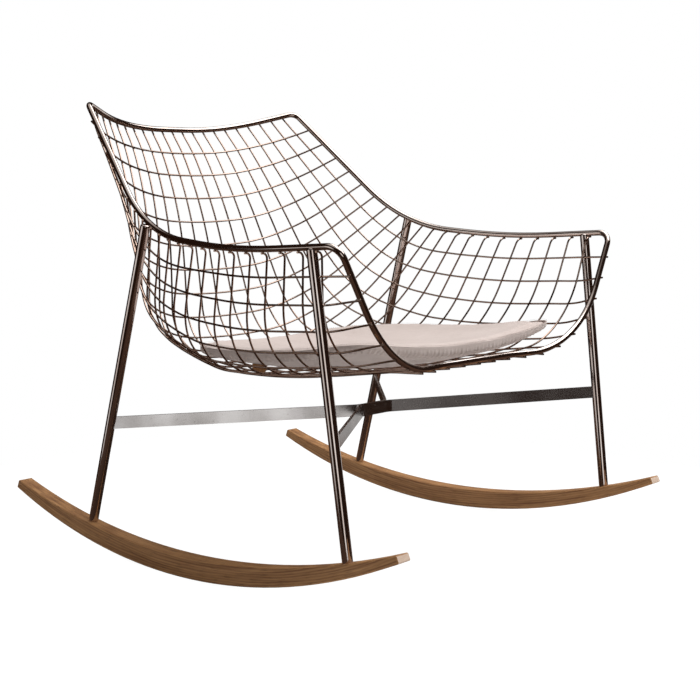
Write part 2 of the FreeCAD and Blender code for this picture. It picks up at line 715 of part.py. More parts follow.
slope = math.radians(size["bar_slope"])
bar_turn = FreeCAD.Rotation(X_AXIS, -size["bar_slope"])
rear_line_top = leg_top(1, REAR_LEG)
rear_line_foot = leg_foot(1, size["rear_foot_y"])
rear_share = (size["bar_rear_z"] - rear_line_foot.z) / (rear_line_top.z - rear_line_foot.z)
bar_origin = rear_line_foot + (rear_line_top - rear_line_foot) * rear_share
bar_origin.x = 0.0
bar_normal = bar_turn.multVec(Vector(0, 0, 1))


def on_bar_plane(share, foot_y):
    """Where a leg's middle line passes the plane of the stretcher, in that plane's coordinates."""
    top = leg_top(1, share)
    foot = leg_foot(1, foot_y)
    step = (bar_origin - foot).dot(bar_normal) / (top - foot).dot(bar_normal)
    point = foot + (top - foot) * step
    return bar_turn.inverted().multVec(point - bar_origin)


def offset_corner(point, inward, outward, distance):
    """Corner of a bent bar's face, a distance to the left of its middle line."""
    left_in = Vector(-inward.y, inward.x, 0)
    left_out = Vector(-outward.y, outward.x, 0)
    half = unit(left_in + left_out)
    return point + half * (distance / half.dot(left_in))


def flat_bar(label, share, foot_y, sense):
    """A flat bar from leg to leg, bent to lie along the other bar in the middle."""
    end = on_bar_plane(share, foot_y)
    meet_y = (size["bar_meet_y"] - bar_origin.y) / math.cos(slope) + sense * 0.5 * size["bar_thick"]
    corners = [Vector(end.x, end.y, 0), Vector(size["bar_meet"], meet_y, 0),
               Vector(-size["bar_meet"], meet_y, 0), Vector(-end.x, end.y, 0)]
    runs = [unit(after - before) for before, after in zip(corners, corners[1:])]
    faces = []
    for distance in (0.5 * size["bar_thick"], -0.5 * size["bar_thick"]):
        left = Vector(-runs[0].y, runs[0].x, 0)
        right = Vector(-runs[2].y, runs[2].x, 0)
        line = [corners[0] + left * distance,
                offset_corner(corners[1], runs[0], runs[1], distance),
                offset_corner(corners[2], runs[1], runs[2], distance),
                corners[3] + right * distance]
        turns_left = runs[0].cross(runs[1]).z > 0
        bend = size["bar_bend"] + (-distance if turns_left else distance)
        faces.append(rounded_path(line, [bend, bend]))
    body = doc.addObject("PartDesign::Body", "Bar_" + label)
    sketch = new_sketch(body, "BarOutline_" + label, "XY_Plane")
    for edge in faces[0] + faces[1]:
        sketch.addGeometry(edge.Curve.trim(edge.FirstParameter, edge.LastParameter))
    tips = [(face[0].firstVertex().Point, face[-1].lastVertex().Point) for face in faces]
    for start, stop in zip(*tips):
        sketch.addGeometry(Part.LineSegment(start, stop))
    pad = body.newObject("PartDesign::Pad", "BarBlank_" + label)
    pad.Profile = sketch
    pad.Midplane = True
    pad.setExpression("Length", "Sizes.bar_high")
    body.Placement = FreeCAD.Placement(bar_origin, bar_turn)
    doc.recompute()
    coped = body
    for side_name, side in SIDES:
        foot = leg_foot(side, foot_y)
        top = leg_top(side, share)
        tool = cylinder("BarCope_%s_%s" % (label, side_name), "Sizes.leg_dia / 2",
                        (top - foot).Length, foot, unit(top - foot))
        coped = cut("BarCut_%s_%s" % (label, side_name), coped, tool)
    return keep(coped, "stretcher_bar_" + label)


flat_bar("rear", REAR_LEG, size["rear_foot_y"], 1.0)
flat_bar("front", FRONT_LEG, size["front_foot_y"], -1.0)


# Seat pad and its leather tab

pad_body = doc.addObject("PartDesign::Body", "PadBody")
pad_sketch = new_sketch(pad_body, "PadOutline", "XY_Plane")
side_wire = lengthwise_points(PAD_SIDE_WIRE)
half_width = max(point.x for point in side_wire) + size["pad_side_out"]
front_y = front_rail.y + size["pad_front_in"]
rear_y = size["seat_back_y"] - size["pad_rear_in"]
front_corner = size["pad_corner_front"]
rear_corner = size["pad_corner_rear"]
side_front = Vector(half_width, front_y + size["pad_front_bow"] + front_corner, 0)
side_rear = Vector(half_width, rear_y - rear_corner, 0)
rear_start = Vector(half_width - rear_corner, rear_y, 0)
front_start = Vector(half_width - front_corner, front_y + size["pad_front_bow"], 0)
diagonal = math.sqrt(0.5)
rear_middle = Vector(half_width - rear_corner * (1.0 - diagonal), rear_y - rear_corner * (1.0 - diagonal), 0)
front_middle = Vector(half_width - front_corner * (1.0 - diagonal),
                      front_y + size["pad_front_bow"] + front_corner * (1.0 - diagonal), 0)
pad_sketch.addGeometry([
    Part.LineSegment(side_front, side_rear),
    Part.Arc(side_rear, rear_middle, rear_start),
    Part.LineSegment(rear_start, mirrored(rear_start)),
    Part.Arc(mirrored(rear_start), mirrored(rear_middle), mirrored(side_rear)),
    Part.LineSegment(mirrored(side_rear), mirrored(side_front)),
    Part.Arc(mirrored(side_front), mirrored(front_middle), mirrored(front_start)),
    Part.Arc(mirrored(front_start), Vector(0, front_y, 0), front_start),
    Part.Arc(front_start, front_middle, side_front)])
pad_block = pad_body.newObject("PartDesign::Pad", "PadBlock")
pad_block.Profile = pad_sketch
pad_block.setExpression("Length", "Sizes.arm_z")


def under_pad(point):
    """Whether a wire with its middle at this point can touch the pad from below."""
    margin = size["wire_dia"]
    past_rear = point.y - (rear_y - rear_corner)
    past_front = front_y + size["pad_front_bow"] + front_corner - point.y
    for past, corner in ((past_rear, rear_corner), (past_front, front_corner)):
        if past > 0:
            aside = max(0.0, abs(point.x) - (half_width - corner))
            return math.hypot(aside, past) < corner + margin
    return abs(point.x) < half_width + margin


# The belly rests just above the wires below it
reach = size["pad_belly"] + 0.5 * size["wire_dia"] + size["pad_gap"]
belly_centre_z = 0.0
for section in sections:
    for step in range(4 * HALF_CELLS + 1):
        point = section.crossing(0.25 * step)[0]
        if under_pad(point):
            aside = point.x ** 2 + (point.y - size["pad_belly_y"]) ** 2
            belly_centre_z = max(belly_centre_z, point.z + math.sqrt(reach ** 2 - aside))
belly_z = belly_centre_z - size["pad_belly"]
belly = doc.addObject("Part::Sphere", "PadBelly")
belly.setExpression("Radius", "Sizes.pad_belly")
poles_aside = FreeCAD.Rotation(X_AXIS, 90)
belly.Placement = FreeCAD.Placement(Vector(0, size["pad_belly_y"], belly_centre_z), poles_aside)
dish = doc.addObject("Part::Sphere", "PadDish")
dish.setExpression("Radius", "Sizes.pad_dish")
dish.Placement = FreeCAD.Placement(
    Vector(0, size["pad_dish_y"], belly_z + size["pad_thick"] + size["pad_dish"]), poles_aside)
pad_lower = doc.addObject("Part::Common", "PadLower")
pad_lower.Base = pad_body
pad_lower.Tool = belly
pad_raw = cut("PadRaw", pad_lower, dish)
doc.recompute()
pad_piece = doc.addObject("Part::Fillet", "SeatPad")
pad_piece.Base = pad_raw
pad_rounds = []
for number, edge in enumerate(pad_raw.Shape.Edges, start=1):
    runs_around = edge.BoundBox.ZLength < 0.5 * edge.Length
    if runs_around:
        pad_rounds.append((number, size["pad_edge_round"], size["pad_edge_round"]))
pad_piece.Edges = pad_rounds
keep(pad_piece, "seat_pad")

# The tab hangs from the underside through one cell of the mesh
cross_index = int(TAB_CROSS_CELL)
tab_behind = sections[cross_index - 1].crossing(TAB_LENGTH_CELL)[0]
tab_before = sections[cross_index].crossing(TAB_LENGTH_CELL)[0]
tab_place = (tab_behind + tab_before) * 0.5
from_belly = Vector(tab_place.x, tab_place.y - size["pad_belly_y"], 0).Length
belly_there = belly_centre_z - math.sqrt(size["pad_belly"] ** 2 - from_belly ** 2)
tab = doc.addObject("Part::Box", "PadTab")
tab.setExpression("Length", "Sizes.tab_thick")
tab.setExpression("Width", "Sizes.tab_long")
tab.setExpression("Height", "Sizes.tab_drop + Sizes.tab_root")
tab.Placement = FreeCAD.Placement(
    Vector(tab_place.x - 0.5 * size["tab_thick"], tab_place.y - 0.5 * size["tab_long"],
           belly_there - size["tab_drop"]), FreeCAD.Rotation())
tab_trimmed = cut("PadTabTrimmed", tab, pad_piece)
keep(tab_trimmed, "pad_tab")

doc.recompute()

# Checks before anything is written
for feature in doc.Objects:
    if "Invalid" in feature.State or "Error" in feature.State:
        raise RuntimeError("%s did not compute: %s" % (feature.Name, feature.State))
for node in nodes:
    if node.Shape.isNull() or not node.Shape.isValid() or not node.Shape.Solids:
        raise RuntimeError("%s has no sound solid" % node.Label)

os.makedirs("parts", exist_ok=True)
for node in nodes:
    node.Shape.exportStep("parts/%s.step" % node.Label)
    print("%-24s solids %d  volume %10.1f" % (node.Label, len(node.Shape.Solids), node.Shape.Volume))
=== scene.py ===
"""The looks of the wire rocking chair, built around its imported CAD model.

The metal rods, the legs, the stretcher and the wooden runners are the CAD's own solids with
finishes of their own. The weld beads, the seat pad and its leather tab are modelled here: the
pad is a stuffed cushion with a gathered border, a piped and stitched seam, and a folded tab.
Lengths are in metres, in the CAD's frame: +Z up, the sitter faces -Y.
"""

import json
import logging
import math
from dataclasses import dataclass, field
from enum import Enum

import bmesh
import bpy
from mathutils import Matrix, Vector, geometry, noise
from mathutils.bvhtree import BVHTree

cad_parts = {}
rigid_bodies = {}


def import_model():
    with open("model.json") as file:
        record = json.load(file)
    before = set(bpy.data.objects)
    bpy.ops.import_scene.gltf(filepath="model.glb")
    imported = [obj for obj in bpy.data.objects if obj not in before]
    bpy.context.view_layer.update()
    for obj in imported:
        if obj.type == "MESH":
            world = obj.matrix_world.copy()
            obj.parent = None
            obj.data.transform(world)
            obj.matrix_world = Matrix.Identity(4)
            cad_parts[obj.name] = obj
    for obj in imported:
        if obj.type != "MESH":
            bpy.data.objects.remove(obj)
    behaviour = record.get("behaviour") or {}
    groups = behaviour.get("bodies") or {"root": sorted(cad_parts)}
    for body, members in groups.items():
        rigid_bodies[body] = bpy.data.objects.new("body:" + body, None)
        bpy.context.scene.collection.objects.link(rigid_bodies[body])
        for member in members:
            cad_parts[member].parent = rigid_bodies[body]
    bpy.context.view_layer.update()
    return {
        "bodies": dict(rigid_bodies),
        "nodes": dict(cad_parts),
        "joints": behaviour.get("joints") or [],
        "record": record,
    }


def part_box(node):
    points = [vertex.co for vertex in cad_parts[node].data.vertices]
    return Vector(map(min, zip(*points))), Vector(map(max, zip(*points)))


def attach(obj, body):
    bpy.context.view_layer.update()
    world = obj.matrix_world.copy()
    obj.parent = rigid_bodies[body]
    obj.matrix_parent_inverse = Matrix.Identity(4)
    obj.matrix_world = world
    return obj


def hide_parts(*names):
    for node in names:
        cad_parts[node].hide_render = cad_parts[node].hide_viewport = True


log = logging.getLogger("rocking_chair")

MM = 0.001


# Shader building

class Socket:
    """An output of a shader node, or a plain number, that Python's operators work on."""

    def __init__(self, tree: "MaterialTree", source: object) -> None:
        """Wrap a node's output socket or a number."""
        self.tree = tree
        self.source = source

    def _math(self, operation: str, *values: object) -> "Socket":
        """Add a Math node for one or two values."""
        return self.tree.node("ShaderNodeMath", {"operation": operation}, dict(enumerate(values)))

    def __add__(self, other: object) -> "Socket":
        """Sum."""
        return self._math("ADD", self, other)

    __radd__ = __add__

    def __sub__(self, other: object) -> "Socket":
        """Difference."""
        return self._math("SUBTRACT", self, other)

    def __rsub__(self, other: object) -> "Socket":
        """Difference from a number."""
        return self._math("SUBTRACT", other, self)

    def __mul__(self, other: object) -> "Socket":
        """Product."""
        return self._math("MULTIPLY", self, other)

    __rmul__ = __mul__

    def __pow__(self, other: object) -> "Socket":
        """Power."""
        return self._math("POWER", self, other)

    def __abs__(self) -> "Socket":
        """Size without sign."""
        return self._math("ABSOLUTE", self)

    def sine(self) -> "Socket":
        """Sine of a value in radians."""
        return self._math("SINE", self)

    def angle_to(self, other: "Socket") -> "Socket":
        """Angle, in radians, whose tangent is this value over the other one."""
        return self._math("ARCTAN2", self, other)

    def ramp(self, low: float, high: float) -> "Socket":
        """Smooth step from 0 at low to 1 at high.

        Args:
            low: value where the result leaves 0.
            high: value where the result reaches 1.
        Returns:
            The stepped value.
        """
        return self.tree.node(
            "ShaderNodeMapRange", {"interpolation_type": "SMOOTHSTEP"},
            {"Value": self, "From Min": low, "From Max": high, "To Min": 0.0, "To Max": 1.0})

    def clamped(self) -> "Socket":
        """The value held between 0 and 1."""
        return self.tree.node("ShaderNodeClamp", {}, {"Value": self})


class MaterialTree:
    """Builds one node tree, for a material or for the world."""

    def __init__(self, owner: object) -> None:
        """Start with an empty tree.

        Args:
            owner: a material or a world.
        """
        owner.use_nodes = True
        self.tree = owner.node_tree
        self.tree.nodes.clear()

    def node(self, kind: str, settings: dict, inputs: dict, output: object = 0) -> Socket:
        """Add a node.

        Args:
            kind: the node's type.
            settings: properties that are set before its sockets.
            inputs: values or Sockets by socket name or number.
            output: name or number of the output that is returned.
        Returns:
            The chosen output.
        """
        made = self.tree.nodes.new(kind)
        for name, value in settings.items():
            if name == "stops":
                self._set_stops(made.color_ramp, value)
            else:
                setattr(made, name, value)
        for key, value in inputs.items():
            self.feed(made.inputs[key], value)
        return Socket(self, made.outputs[output] if len(made.outputs) else None)

    def feed(self, target: object, value: object) -> None:
        """Give an input a link or a plain value."""
        if isinstance(value, Socket):
            self.tree.links.new(value.source, target)
        else:
            target.default_value = value

    @staticmethod
    def _set_stops(ramp: object, stops: list) -> None:
        """Give a colour ramp its (place, colour) stops."""
        while len(ramp.elements) < len(stops):
            ramp.elements.new(1.0)
        for element, (place, colour) in zip(ramp.elements, stops):
            element.position = place
            element.color = (*colour, 1.0)

    def coordinates(self, scale: tuple = (1.0, 1.0, 1.0)) -> Socket:
        """Object coordinates, scaled."""
        place = self.node("ShaderNodeTexCoord", {}, {}, "Object")
        return self.scaled(place, scale)

    def scaled(self, place: Socket, scale: tuple) -> Socket:
        """Coordinates times a scale of their own on each axis."""
        return self.node("ShaderNodeMapping", {}, {"Vector": place, "Scale": scale})

    def split(self, vector: Socket) -> tuple[Socket, Socket, Socket]:
        """The X, Y and Z of a vector."""
        parts = self.tree.nodes.new("ShaderNodeSeparateXYZ")
        self.feed(parts.inputs[0], vector)
        return tuple(Socket(self, parts.outputs[axis]) for axis in ("X", "Y", "Z"))

    def noise(self, vector: Socket, scale: float, detail: float = 2.0, rough: float = 0.5) -> Socket:
        """Noise between 0 and 1.

        Args:
            vector: where it is read.
            scale: how fine it is.
            detail: octaves.
            rough: weight of the finer octaves.
        Returns:
            The noise value.
        """
        return self.node("ShaderNodeTexNoise", {}, {
            "Vector": vector, "Scale": scale, "Detail": detail, "Roughness": rough}, "Fac")

    def mix(self, share: object, first: object, second: object) -> Socket:
        """Mix two colours."""
        made = self.tree.nodes.new("ShaderNodeMix")
        made.data_type = "RGBA"
        for number, value in ((0, share), (6, first), (7, second)):
            self.feed(made.inputs[number], (*value, 1.0) if isinstance(value, tuple) else value)
        return Socket(self, made.outputs[2])

    def bump(self, height: Socket, distance: float, strength: float = 1.0) -> Socket:
        """A normal from a height in metres times distance."""
        return self.node("ShaderNodeBump", {}, {
            "Height": height, "Distance": distance, "Strength": strength}, "Normal")

    def surface(self, inputs: dict) -> None:
        """Finish a material with a Principled surface."""
        shader = self.node("ShaderNodeBsdfPrincipled", {}, inputs)
        self.node("ShaderNodeOutputMaterial", {}, {"Surface": shader})


Colour = tuple[float, float, float]


@dataclass(frozen=True)
class PolishedMetal:
    """Bright plated metal with faint polishing marks; its dark warm nickel tone and darker brown patches
    at random are painted dark reflections.
    """

    name: str
    colour: Colour
    # Colour of the darker brown patches at random: a painted dark reflection.
    painted_dark_reflection: Colour
    roughness: float
    haze: float
    cloud_scale: float = 9.0
    speck_scale: float = 240.0
    mark_scale: float = 900.0
    mark_depth: float = 0.02 * MM

    def build(self) -> bpy.types.Material:
        """Make the material.

        Returns:
            The finished material.
        """
        material = bpy.data.materials.new(self.name)
        tree = MaterialTree(material)
        place = tree.coordinates()
        cloud = tree.noise(place, self.cloud_scale, 3.0)
        marks = tree.noise(place, self.mark_scale, 3.0, 0.6)
        specks = tree.noise(place, self.speck_scale, 2.0).ramp(0.60, 0.78)
        # Painted dark reflections: darker brown patches at random, with small specks.
        reflection_and_speck_mask = (cloud.ramp(0.30, 0.72) * 0.8 + specks * 0.2).clamped()
        haze = cloud.ramp(0.35, 0.75) * self.haze + marks * (0.5 * self.haze) + specks * 0.06
        tree.surface({"Base Color": tree.mix(reflection_and_speck_mask, self.colour, self.painted_dark_reflection), "Metallic": 1.0,
                      "Roughness": (self.roughness + haze).clamped(),
                      "Normal": tree.bump(marks, self.mark_depth, 0.25)})
        return material


@dataclass(frozen=True)
class OiledWood:
    """Brown close-grained wood: fine streaks and pores along the runner's curve, and cut ends with
    end-grain pores, painted pale as a highlight.
    """

    name: str
    pale: Colour
    middle: Colour
    dark: Colour
    # End-grain colour of the cut ends, painted pale as a highlight.
    end: Colour
    bend: float = 1100.0 * MM
    bend_y: float = 27.0 * MM
    ring_turns: float = 1500.0
    pore_depth: float = 0.12 * MM

    def build(self) -> bpy.types.Material:
        """Make the material.

        Returns:
            The finished material.
        """
        material = bpy.data.materials.new(self.name)
        tree = MaterialTree(material)
        bent, height = self._bent(tree)
        drift = tree.noise(tree.scaled(bent, (1.0, 0.25, 1.0)), 14.0, 2.0)
        broad = tree.noise(tree.scaled(bent, (1.0, 0.040, 1.0)), 150.0, 3.0, 0.55)
        fine = tree.noise(tree.scaled(bent, (1.0, 0.014, 1.0)), 620.0, 3.0, 0.6)
        pores = tree.noise(tree.scaled(bent, (1.0, 0.030, 1.0)), 1150.0, 1.0).ramp(0.60, 0.70)
        figure = (height * self.ring_turns + drift * 26.0 + broad * 6.0).sine() * 0.5 + 0.5
        streaks = (0.46 * broad + 0.42 * fine + 0.12 * figure).clamped()
        stops = [(0.30, self.dark), (0.50, self.middle), (0.72, self.pale)]
        body = tree.node("ShaderNodeValToRGB", {"stops": stops}, {"Fac": streaks}, "Color")
        body = tree.mix(pores * 0.55, body, tuple(0.45 * part for part in self.dark))
        # Cut ends, found by facing along Y: end-grain pores, painted pale as a highlight.
        facing = tree.split(tree.node("ShaderNodeTexCoord", {}, {}, "Normal"))
        cut = abs(facing[1]).ramp(0.78, 0.88)
        end_pores = tree.noise(tree.coordinates(), 1500.0, 2.0).ramp(0.50, 0.66)
        end_grain_and_highlight = tree.mix(end_pores * 0.45, self.end, self.middle)
        colour = tree.mix(cut, body, end_grain_and_highlight)
        rough = (0.46 + 0.16 * fine + 0.12 * cut - 0.05 * drift).clamped()
        relief = tree.bump(fine * 0.5 + broad * 0.5 - pores * 0.9, self.pore_depth, 0.55)
        tree.surface({"Base Color": colour, "Roughness": rough, "Normal": relief,
                      "Specular IOR Level": 0.38})
        return material

    def _bent(self, tree: MaterialTree) -> tuple[Socket, Socket]:
        """Coordinates that follow the runner's curve.

        Args:
            tree: the material's tree.
        Returns:
            The vector (across, along the curve, height over the sole), and that height alone.
        """
        x, y, z = tree.split(tree.coordinates())
        back = y - self.bend_y
        down = self.bend - z
        height = self.bend - (back * back + down * down) ** 0.5
        along = back.angle_to(down) * self.bend
        bent = tree.node("ShaderNodeCombineXYZ", {}, {"X": x, "Y": along, "Z": height})
        return bent, height


@dataclass(frozen=True)
class WovenFabric:
    """Matt woven cloth: crossed yarns, soft mottling and a faint nap."""

    name: str
    light: Colour
    shade: Colour
    yarn: float = 0.9 * MM
    sheen: float = 0.25
    relief: float = 0.35 * MM

    def build(self) -> bpy.types.Material:
        """Make the material.

        Returns:
            The finished material.
        """
        material = bpy.data.materials.new(self.name)
        tree = MaterialTree(material)
        place = tree.coordinates()
        wobble = tree.noise(place, 55.0, 2.0)
        x, y, z = tree.split(place)
        turns = 2.0 * math.pi / self.yarn
        warp = (x * turns + z * (0.6 * turns) + wobble * 5.0).sine() * 0.5 + 0.5
        weft = (y * turns + z * (0.8 * turns) + wobble * 4.0).sine() * 0.5 + 0.5
        weave = warp * weft + (1.0 - warp) * (1.0 - weft)
        slub = tree.noise(tree.coordinates((1.0, 0.12, 1.0)), 420.0, 2.0)
        cross_slub = tree.noise(tree.coordinates((0.12, 1.0, 1.0)), 420.0, 2.0)
        cloud = tree.noise(place, 13.0, 3.0, 0.6)
        nap = tree.noise(place, 1300.0, 2.0, 0.7)
        tone = 0.30 * weave + 0.25 * slub + 0.25 * cross_slub + 0.25 * nap + 0.45 * (cloud - 0.5)
        relief = tree.bump(weave * 0.6 + slub * 0.3 + nap * 0.35, self.relief, 0.5)
        tree.surface({"Base Color": tree.mix(tone.ramp(0.15, 0.80), self.shade, self.light),
                      "Roughness": (0.86 + 0.10 * nap).clamped(), "Normal": relief,
                      "Sheen Weight": self.sheen, "Sheen Roughness": 0.6,
                      "Specular IOR Level": 0.2})
        return material


@dataclass(frozen=True)
class SmoothLeather:
    """Tan leather with a fine pebbled grain and darker patches at random."""

    name: str
    face: Colour
    edge: Colour
    pebbles: float = 1400.0
    pebble_depth: float = 0.10 * MM

    def build(self) -> bpy.types.Material:
        """Make the material.

        Returns:
            The finished material.
        """
        material = bpy.data.materials.new(self.name)
        tree = MaterialTree(material)
        place = tree.coordinates()
        grain = tree.node("ShaderNodeTexVoronoi", {}, {"Vector": place, "Scale": self.pebbles}, "Distance")
        cloud = tree.noise(place, 160.0, 3.0)
        colour = tree.mix((cloud.ramp(0.30, 0.70) * 0.7 + grain * 0.3).clamped(), self.face, self.edge)
        tree.surface({"Base Color": colour, "Roughness": (0.42 + 0.25 * grain).clamped(),
                      "Normal": tree.bump(grain, self.pebble_depth, 0.5)})
        return material


@dataclass(frozen=True)
class TurnedSteel:
    """Plain machined steel with fine turning rings and darker patches at random."""

    name: str
    colour: Colour
    shade: Colour
    ring_depth: float = 0.03 * MM

    def build(self) -> bpy.types.Material:
        """Make the material.

        Returns:
            The finished material.
        """
        material = bpy.data.materials.new(self.name)
        tree = MaterialTree(material)
        rings = tree.noise(tree.coordinates((1.0, 1.0, 6.0)), 700.0, 2.0)
        cloud = tree.noise(tree.coordinates(), 120.0, 3.0)
        colour = tree.mix(cloud.ramp(0.35, 0.70), self.colour, self.shade)
        tree.surface({"Base Color": colour, "Metallic": 1.0,
                      "Roughness": (0.30 + 0.18 * rings + 0.10 * cloud).clamped(),
                      "Normal": tree.bump(rings, self.ring_depth, 0.4)})
        return material


class Finish(Enum):
    """The finishes of the chair."""

    # The wire, rim, leg and bar finishes are one plated steel; their warm brown tones, darkest on the
    # wires, are painted dark reflections.
    WIRE = PolishedMetal("wire_metal", (0.48, 0.37, 0.31), (0.33, 0.21, 0.155), 0.10, 0.08)
    ROD = PolishedMetal("rim_metal", (0.62, 0.55, 0.51), (0.43, 0.33, 0.28), 0.08, 0.06)
    TUBE = PolishedMetal("leg_metal", (0.64, 0.58, 0.55), (0.44, 0.35, 0.31), 0.06, 0.05)
    BAR = PolishedMetal("bar_metal", (0.60, 0.59, 0.59), (0.48, 0.46, 0.45), 0.16, 0.10)
    WELD = PolishedMetal("weld_metal", (0.42, 0.33, 0.28), (0.30, 0.21, 0.16), 0.24, 0.12)
    WOOD = OiledWood("oiled_wood", (0.56, 0.300, 0.125), (0.390, 0.190, 0.074),
                     (0.175, 0.070, 0.025), (0.74, 0.57, 0.45))
    FABRIC = WovenFabric("pad_cloth", (0.70, 0.595, 0.550), (0.50, 0.405, 0.365))
    THREAD = WovenFabric("pad_thread", (0.52, 0.43, 0.39), (0.36, 0.29, 0.26), 0.3 * MM, 0.1)
    LEATHER = SmoothLeather("tan_leather", (0.46, 0.22, 0.075), (0.26, 0.11, 0.035))
    STEEL = TurnedSteel("fixing_steel", (0.50, 0.50, 0.51), (0.30, 0.30, 0.31))


class Wardrobe:
    """Makes each finish's material once and hands it out."""

    def __init__(self) -> None:
        """Start with nothing made."""
        self.made: dict[Finish, bpy.types.Material] = {}

    def material(self, finish: Finish) -> bpy.types.Material:
        """The material of a finish."""
        if finish not in self.made:
            self.made[finish] = finish.value.build()
        return self.made[finish]

    def dress(self, piece: bpy.types.Object, finish: Finish) -> None:
        """Put a finish on every slot of a piece."""
        if not piece.material_slots:
            piece.data.materials.append(None)
        for place in piece.material_slots:
            place.material = self.material(finish)


def shown(name: str, data: object) -> bpy.types.Object:
    """Make an object of a mesh, a lamp or a camera and link it to the scene."""
    made = bpy.data.objects.new(name, data)
    bpy.context.scene.collection.objects.link(made)
    return made


def smooth_shaded(mesh: bpy.types.Mesh) -> None:
    """Shade every face of a mesh smooth."""
    for polygon in mesh.polygons:
        polygon.use_smooth = True


def skin(shape: bmesh.types.BMesh, lines: list[list], loop: bool, tube: bool) -> None:
    """Join lines of points with faces.

    Args:
        shape: the mesh that holds the points.
        lines: lines of as many points each.
        loop: whether the last line joins the first one.
        tube: whether the last point of a line joins its first one.
    """
    for before, after in zip(lines, lines[1:] + (lines[:1] if loop else [])):
        count = len(before)
        for place in range(count if tube else count - 1):
            beside = (place + 1) % count
            shape.faces.new((before[place], after[place], after[beside], before[beside]))


def new_piece(name: str, shape: bmesh.types.BMesh) -> bpy.types.Object:
    """Turn a bmesh into a smooth-shaded object at the origin.

    Args:
        name: the piece's name.
        shape: its mesh, which is freed.
    Returns:
        The new object.
    """
    bmesh.ops.recalc_face_normals(shape, faces=shape.faces)
    mesh = bpy.data.meshes.new(name)
    shape.to_mesh(mesh)
    shape.free()
    smooth_shaded(mesh)
    return shown(name, mesh)


def fixed(piece: bpy.types.Object) -> bpy.types.Object:
    """Replace a piece's mesh by what its modifiers make of it, and drop them."""
    graph = bpy.context.evaluated_depsgraph_get()
    mesh = bpy.data.meshes.new_from_object(piece.evaluated_get(graph))
    mesh.name = piece.name
    piece.modifiers.clear()
    piece.data = mesh
    return piece


@dataclass
class Frame:
    """The metal and wooden nodes that keep the CAD's own solids.

    A node takes the first finish whose word its name starts with.
    """

    nodes: dict
    wardrobe: Wardrobe
    finishes: dict = field(default_factory=lambda: {
        "rim_loop": Finish.ROD, "cross_wire": Finish.WIRE, "lengthwise_wire": Finish.WIRE,
        "leg_foot_plugs": Finish.STEEL, "runner_bolts": Finish.STEEL, "leg_": Finish.TUBE,
        "stretcher_bar": Finish.BAR, "runner_": Finish.WOOD})

    def dress(self) -> int:
        """Give each kept node the finish that its name starts with.

        Returns:
            How many nodes were dressed.
        """
        count = 0
        for name, node in self.nodes.items():
            for start, finish in self.finishes.items():
                if name.startswith(start):
                    self.wardrobe.dress(node, finish)
                    count += 1
                    break
        return count


class SwollenNode:
    """A node's mesh with each point moved out a little, so that touching rods cut each other."""

    def __init__(self, mesh: bpy.types.Mesh, swell: float) -> None:
        """Copy the mesh.

        Args:
            mesh: the node's mesh.
            swell: how far each point moves out.
        """
        self.points = [vertex.co + vertex.normal * swell for vertex in mesh.vertices]
        self.faces = [tuple(polygon.vertices) for polygon in mesh.polygons]
        self.search = BVHTree.FromPolygons(self.points, self.faces)

    def corners(self, face: int) -> list[Vector]:
        """Corners of one face."""
        return [self.points[number] for number in self.faces[face]]


@dataclass
class Welds:
    """Small weld beads where the wires cross one another and where they meet the rim."""

    nodes: dict
    wardrobe: Wardrobe
    swell: float = 0.3 * MM
    apart: float = 6.0 * MM
    wire_bead: float = 1.9 * MM
    rim_bead: float = 2.6 * MM
    unevenness: float = 0.18

    def _swollen(self, start: str) -> list[SwollenNode]:
        """The nodes whose names begin with a word, in order of name."""
        return [SwollenNode(self.nodes[name].data, self.swell)
                for name in sorted(self.nodes) if name.startswith(start)]

    def _meetings(self, first: SwollenNode, second: SwollenNode) -> list[Vector]:
        """Middles of the places where two swollen nodes cut each other."""
        found: list[tuple[Vector, int]] = []
        for one, other in first.search.overlap(second.search):
            ours = first.corners(one)
            theirs = second.corners(other)
            for edges, face in ((ours, theirs), (theirs, ours)):
                for start, end in zip(edges, edges[1:] + edges[:1]):
                    hit = geometry.intersect_ray_tri(*face, end - start, start, True)
                    if hit is not None and (hit - start).length <= (end - start).length:
                        self._gather(found, hit)
        return [total / count for total, count in found]

    def _gather(self, found: list, hit: Vector) -> None:
        """Add a hit to the group of hits it lies near, or start a new group."""
        for place, (total, count) in enumerate(found):
            if (total / count - hit).length < self.apart:
                found[place] = (total + hit, count + 1)
                return
        found.append((hit.copy(), 1))

    def build(self) -> list[bpy.types.Object]:
        """Make the two pieces of beads.

        Returns:
            The beads between wires and the beads on the rim.
        """
        across = self._swollen("cross_wire")
        along = self._swollen("lengthwise_wire")
        rim = self._swollen("rim_loop")[0]
        crossings = [place for one in across for other in along for place in self._meetings(one, other)]
        ends = [place for wire in across + along for place in self._meetings(wire, rim)]
        return [self._beads("weld_beads", crossings, self.wire_bead),
                self._beads("rim_weld_beads", ends, self.rim_bead)]

    def _beads(self, name: str, places: list[Vector], size: float) -> bpy.types.Object:
        """Repeat one bead at many places with Geometry Nodes.

        Args:
            name: the piece's name.
            places: middles of the beads.
            size: their radius.
        Returns:
            The finished piece.
        """
        mesh = bpy.data.meshes.new(name)
        mesh.from_pydata(places, [], [])
        piece = shown(name, mesh)
        tree = bead_tree(self.wardrobe.material(Finish.WELD))
        repeat(piece, tree, {"Radius": size, "Unevenness": self.unevenness})
        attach(piece, "chair")
        log.info("%s: %d beads", name, len(places))
        return piece


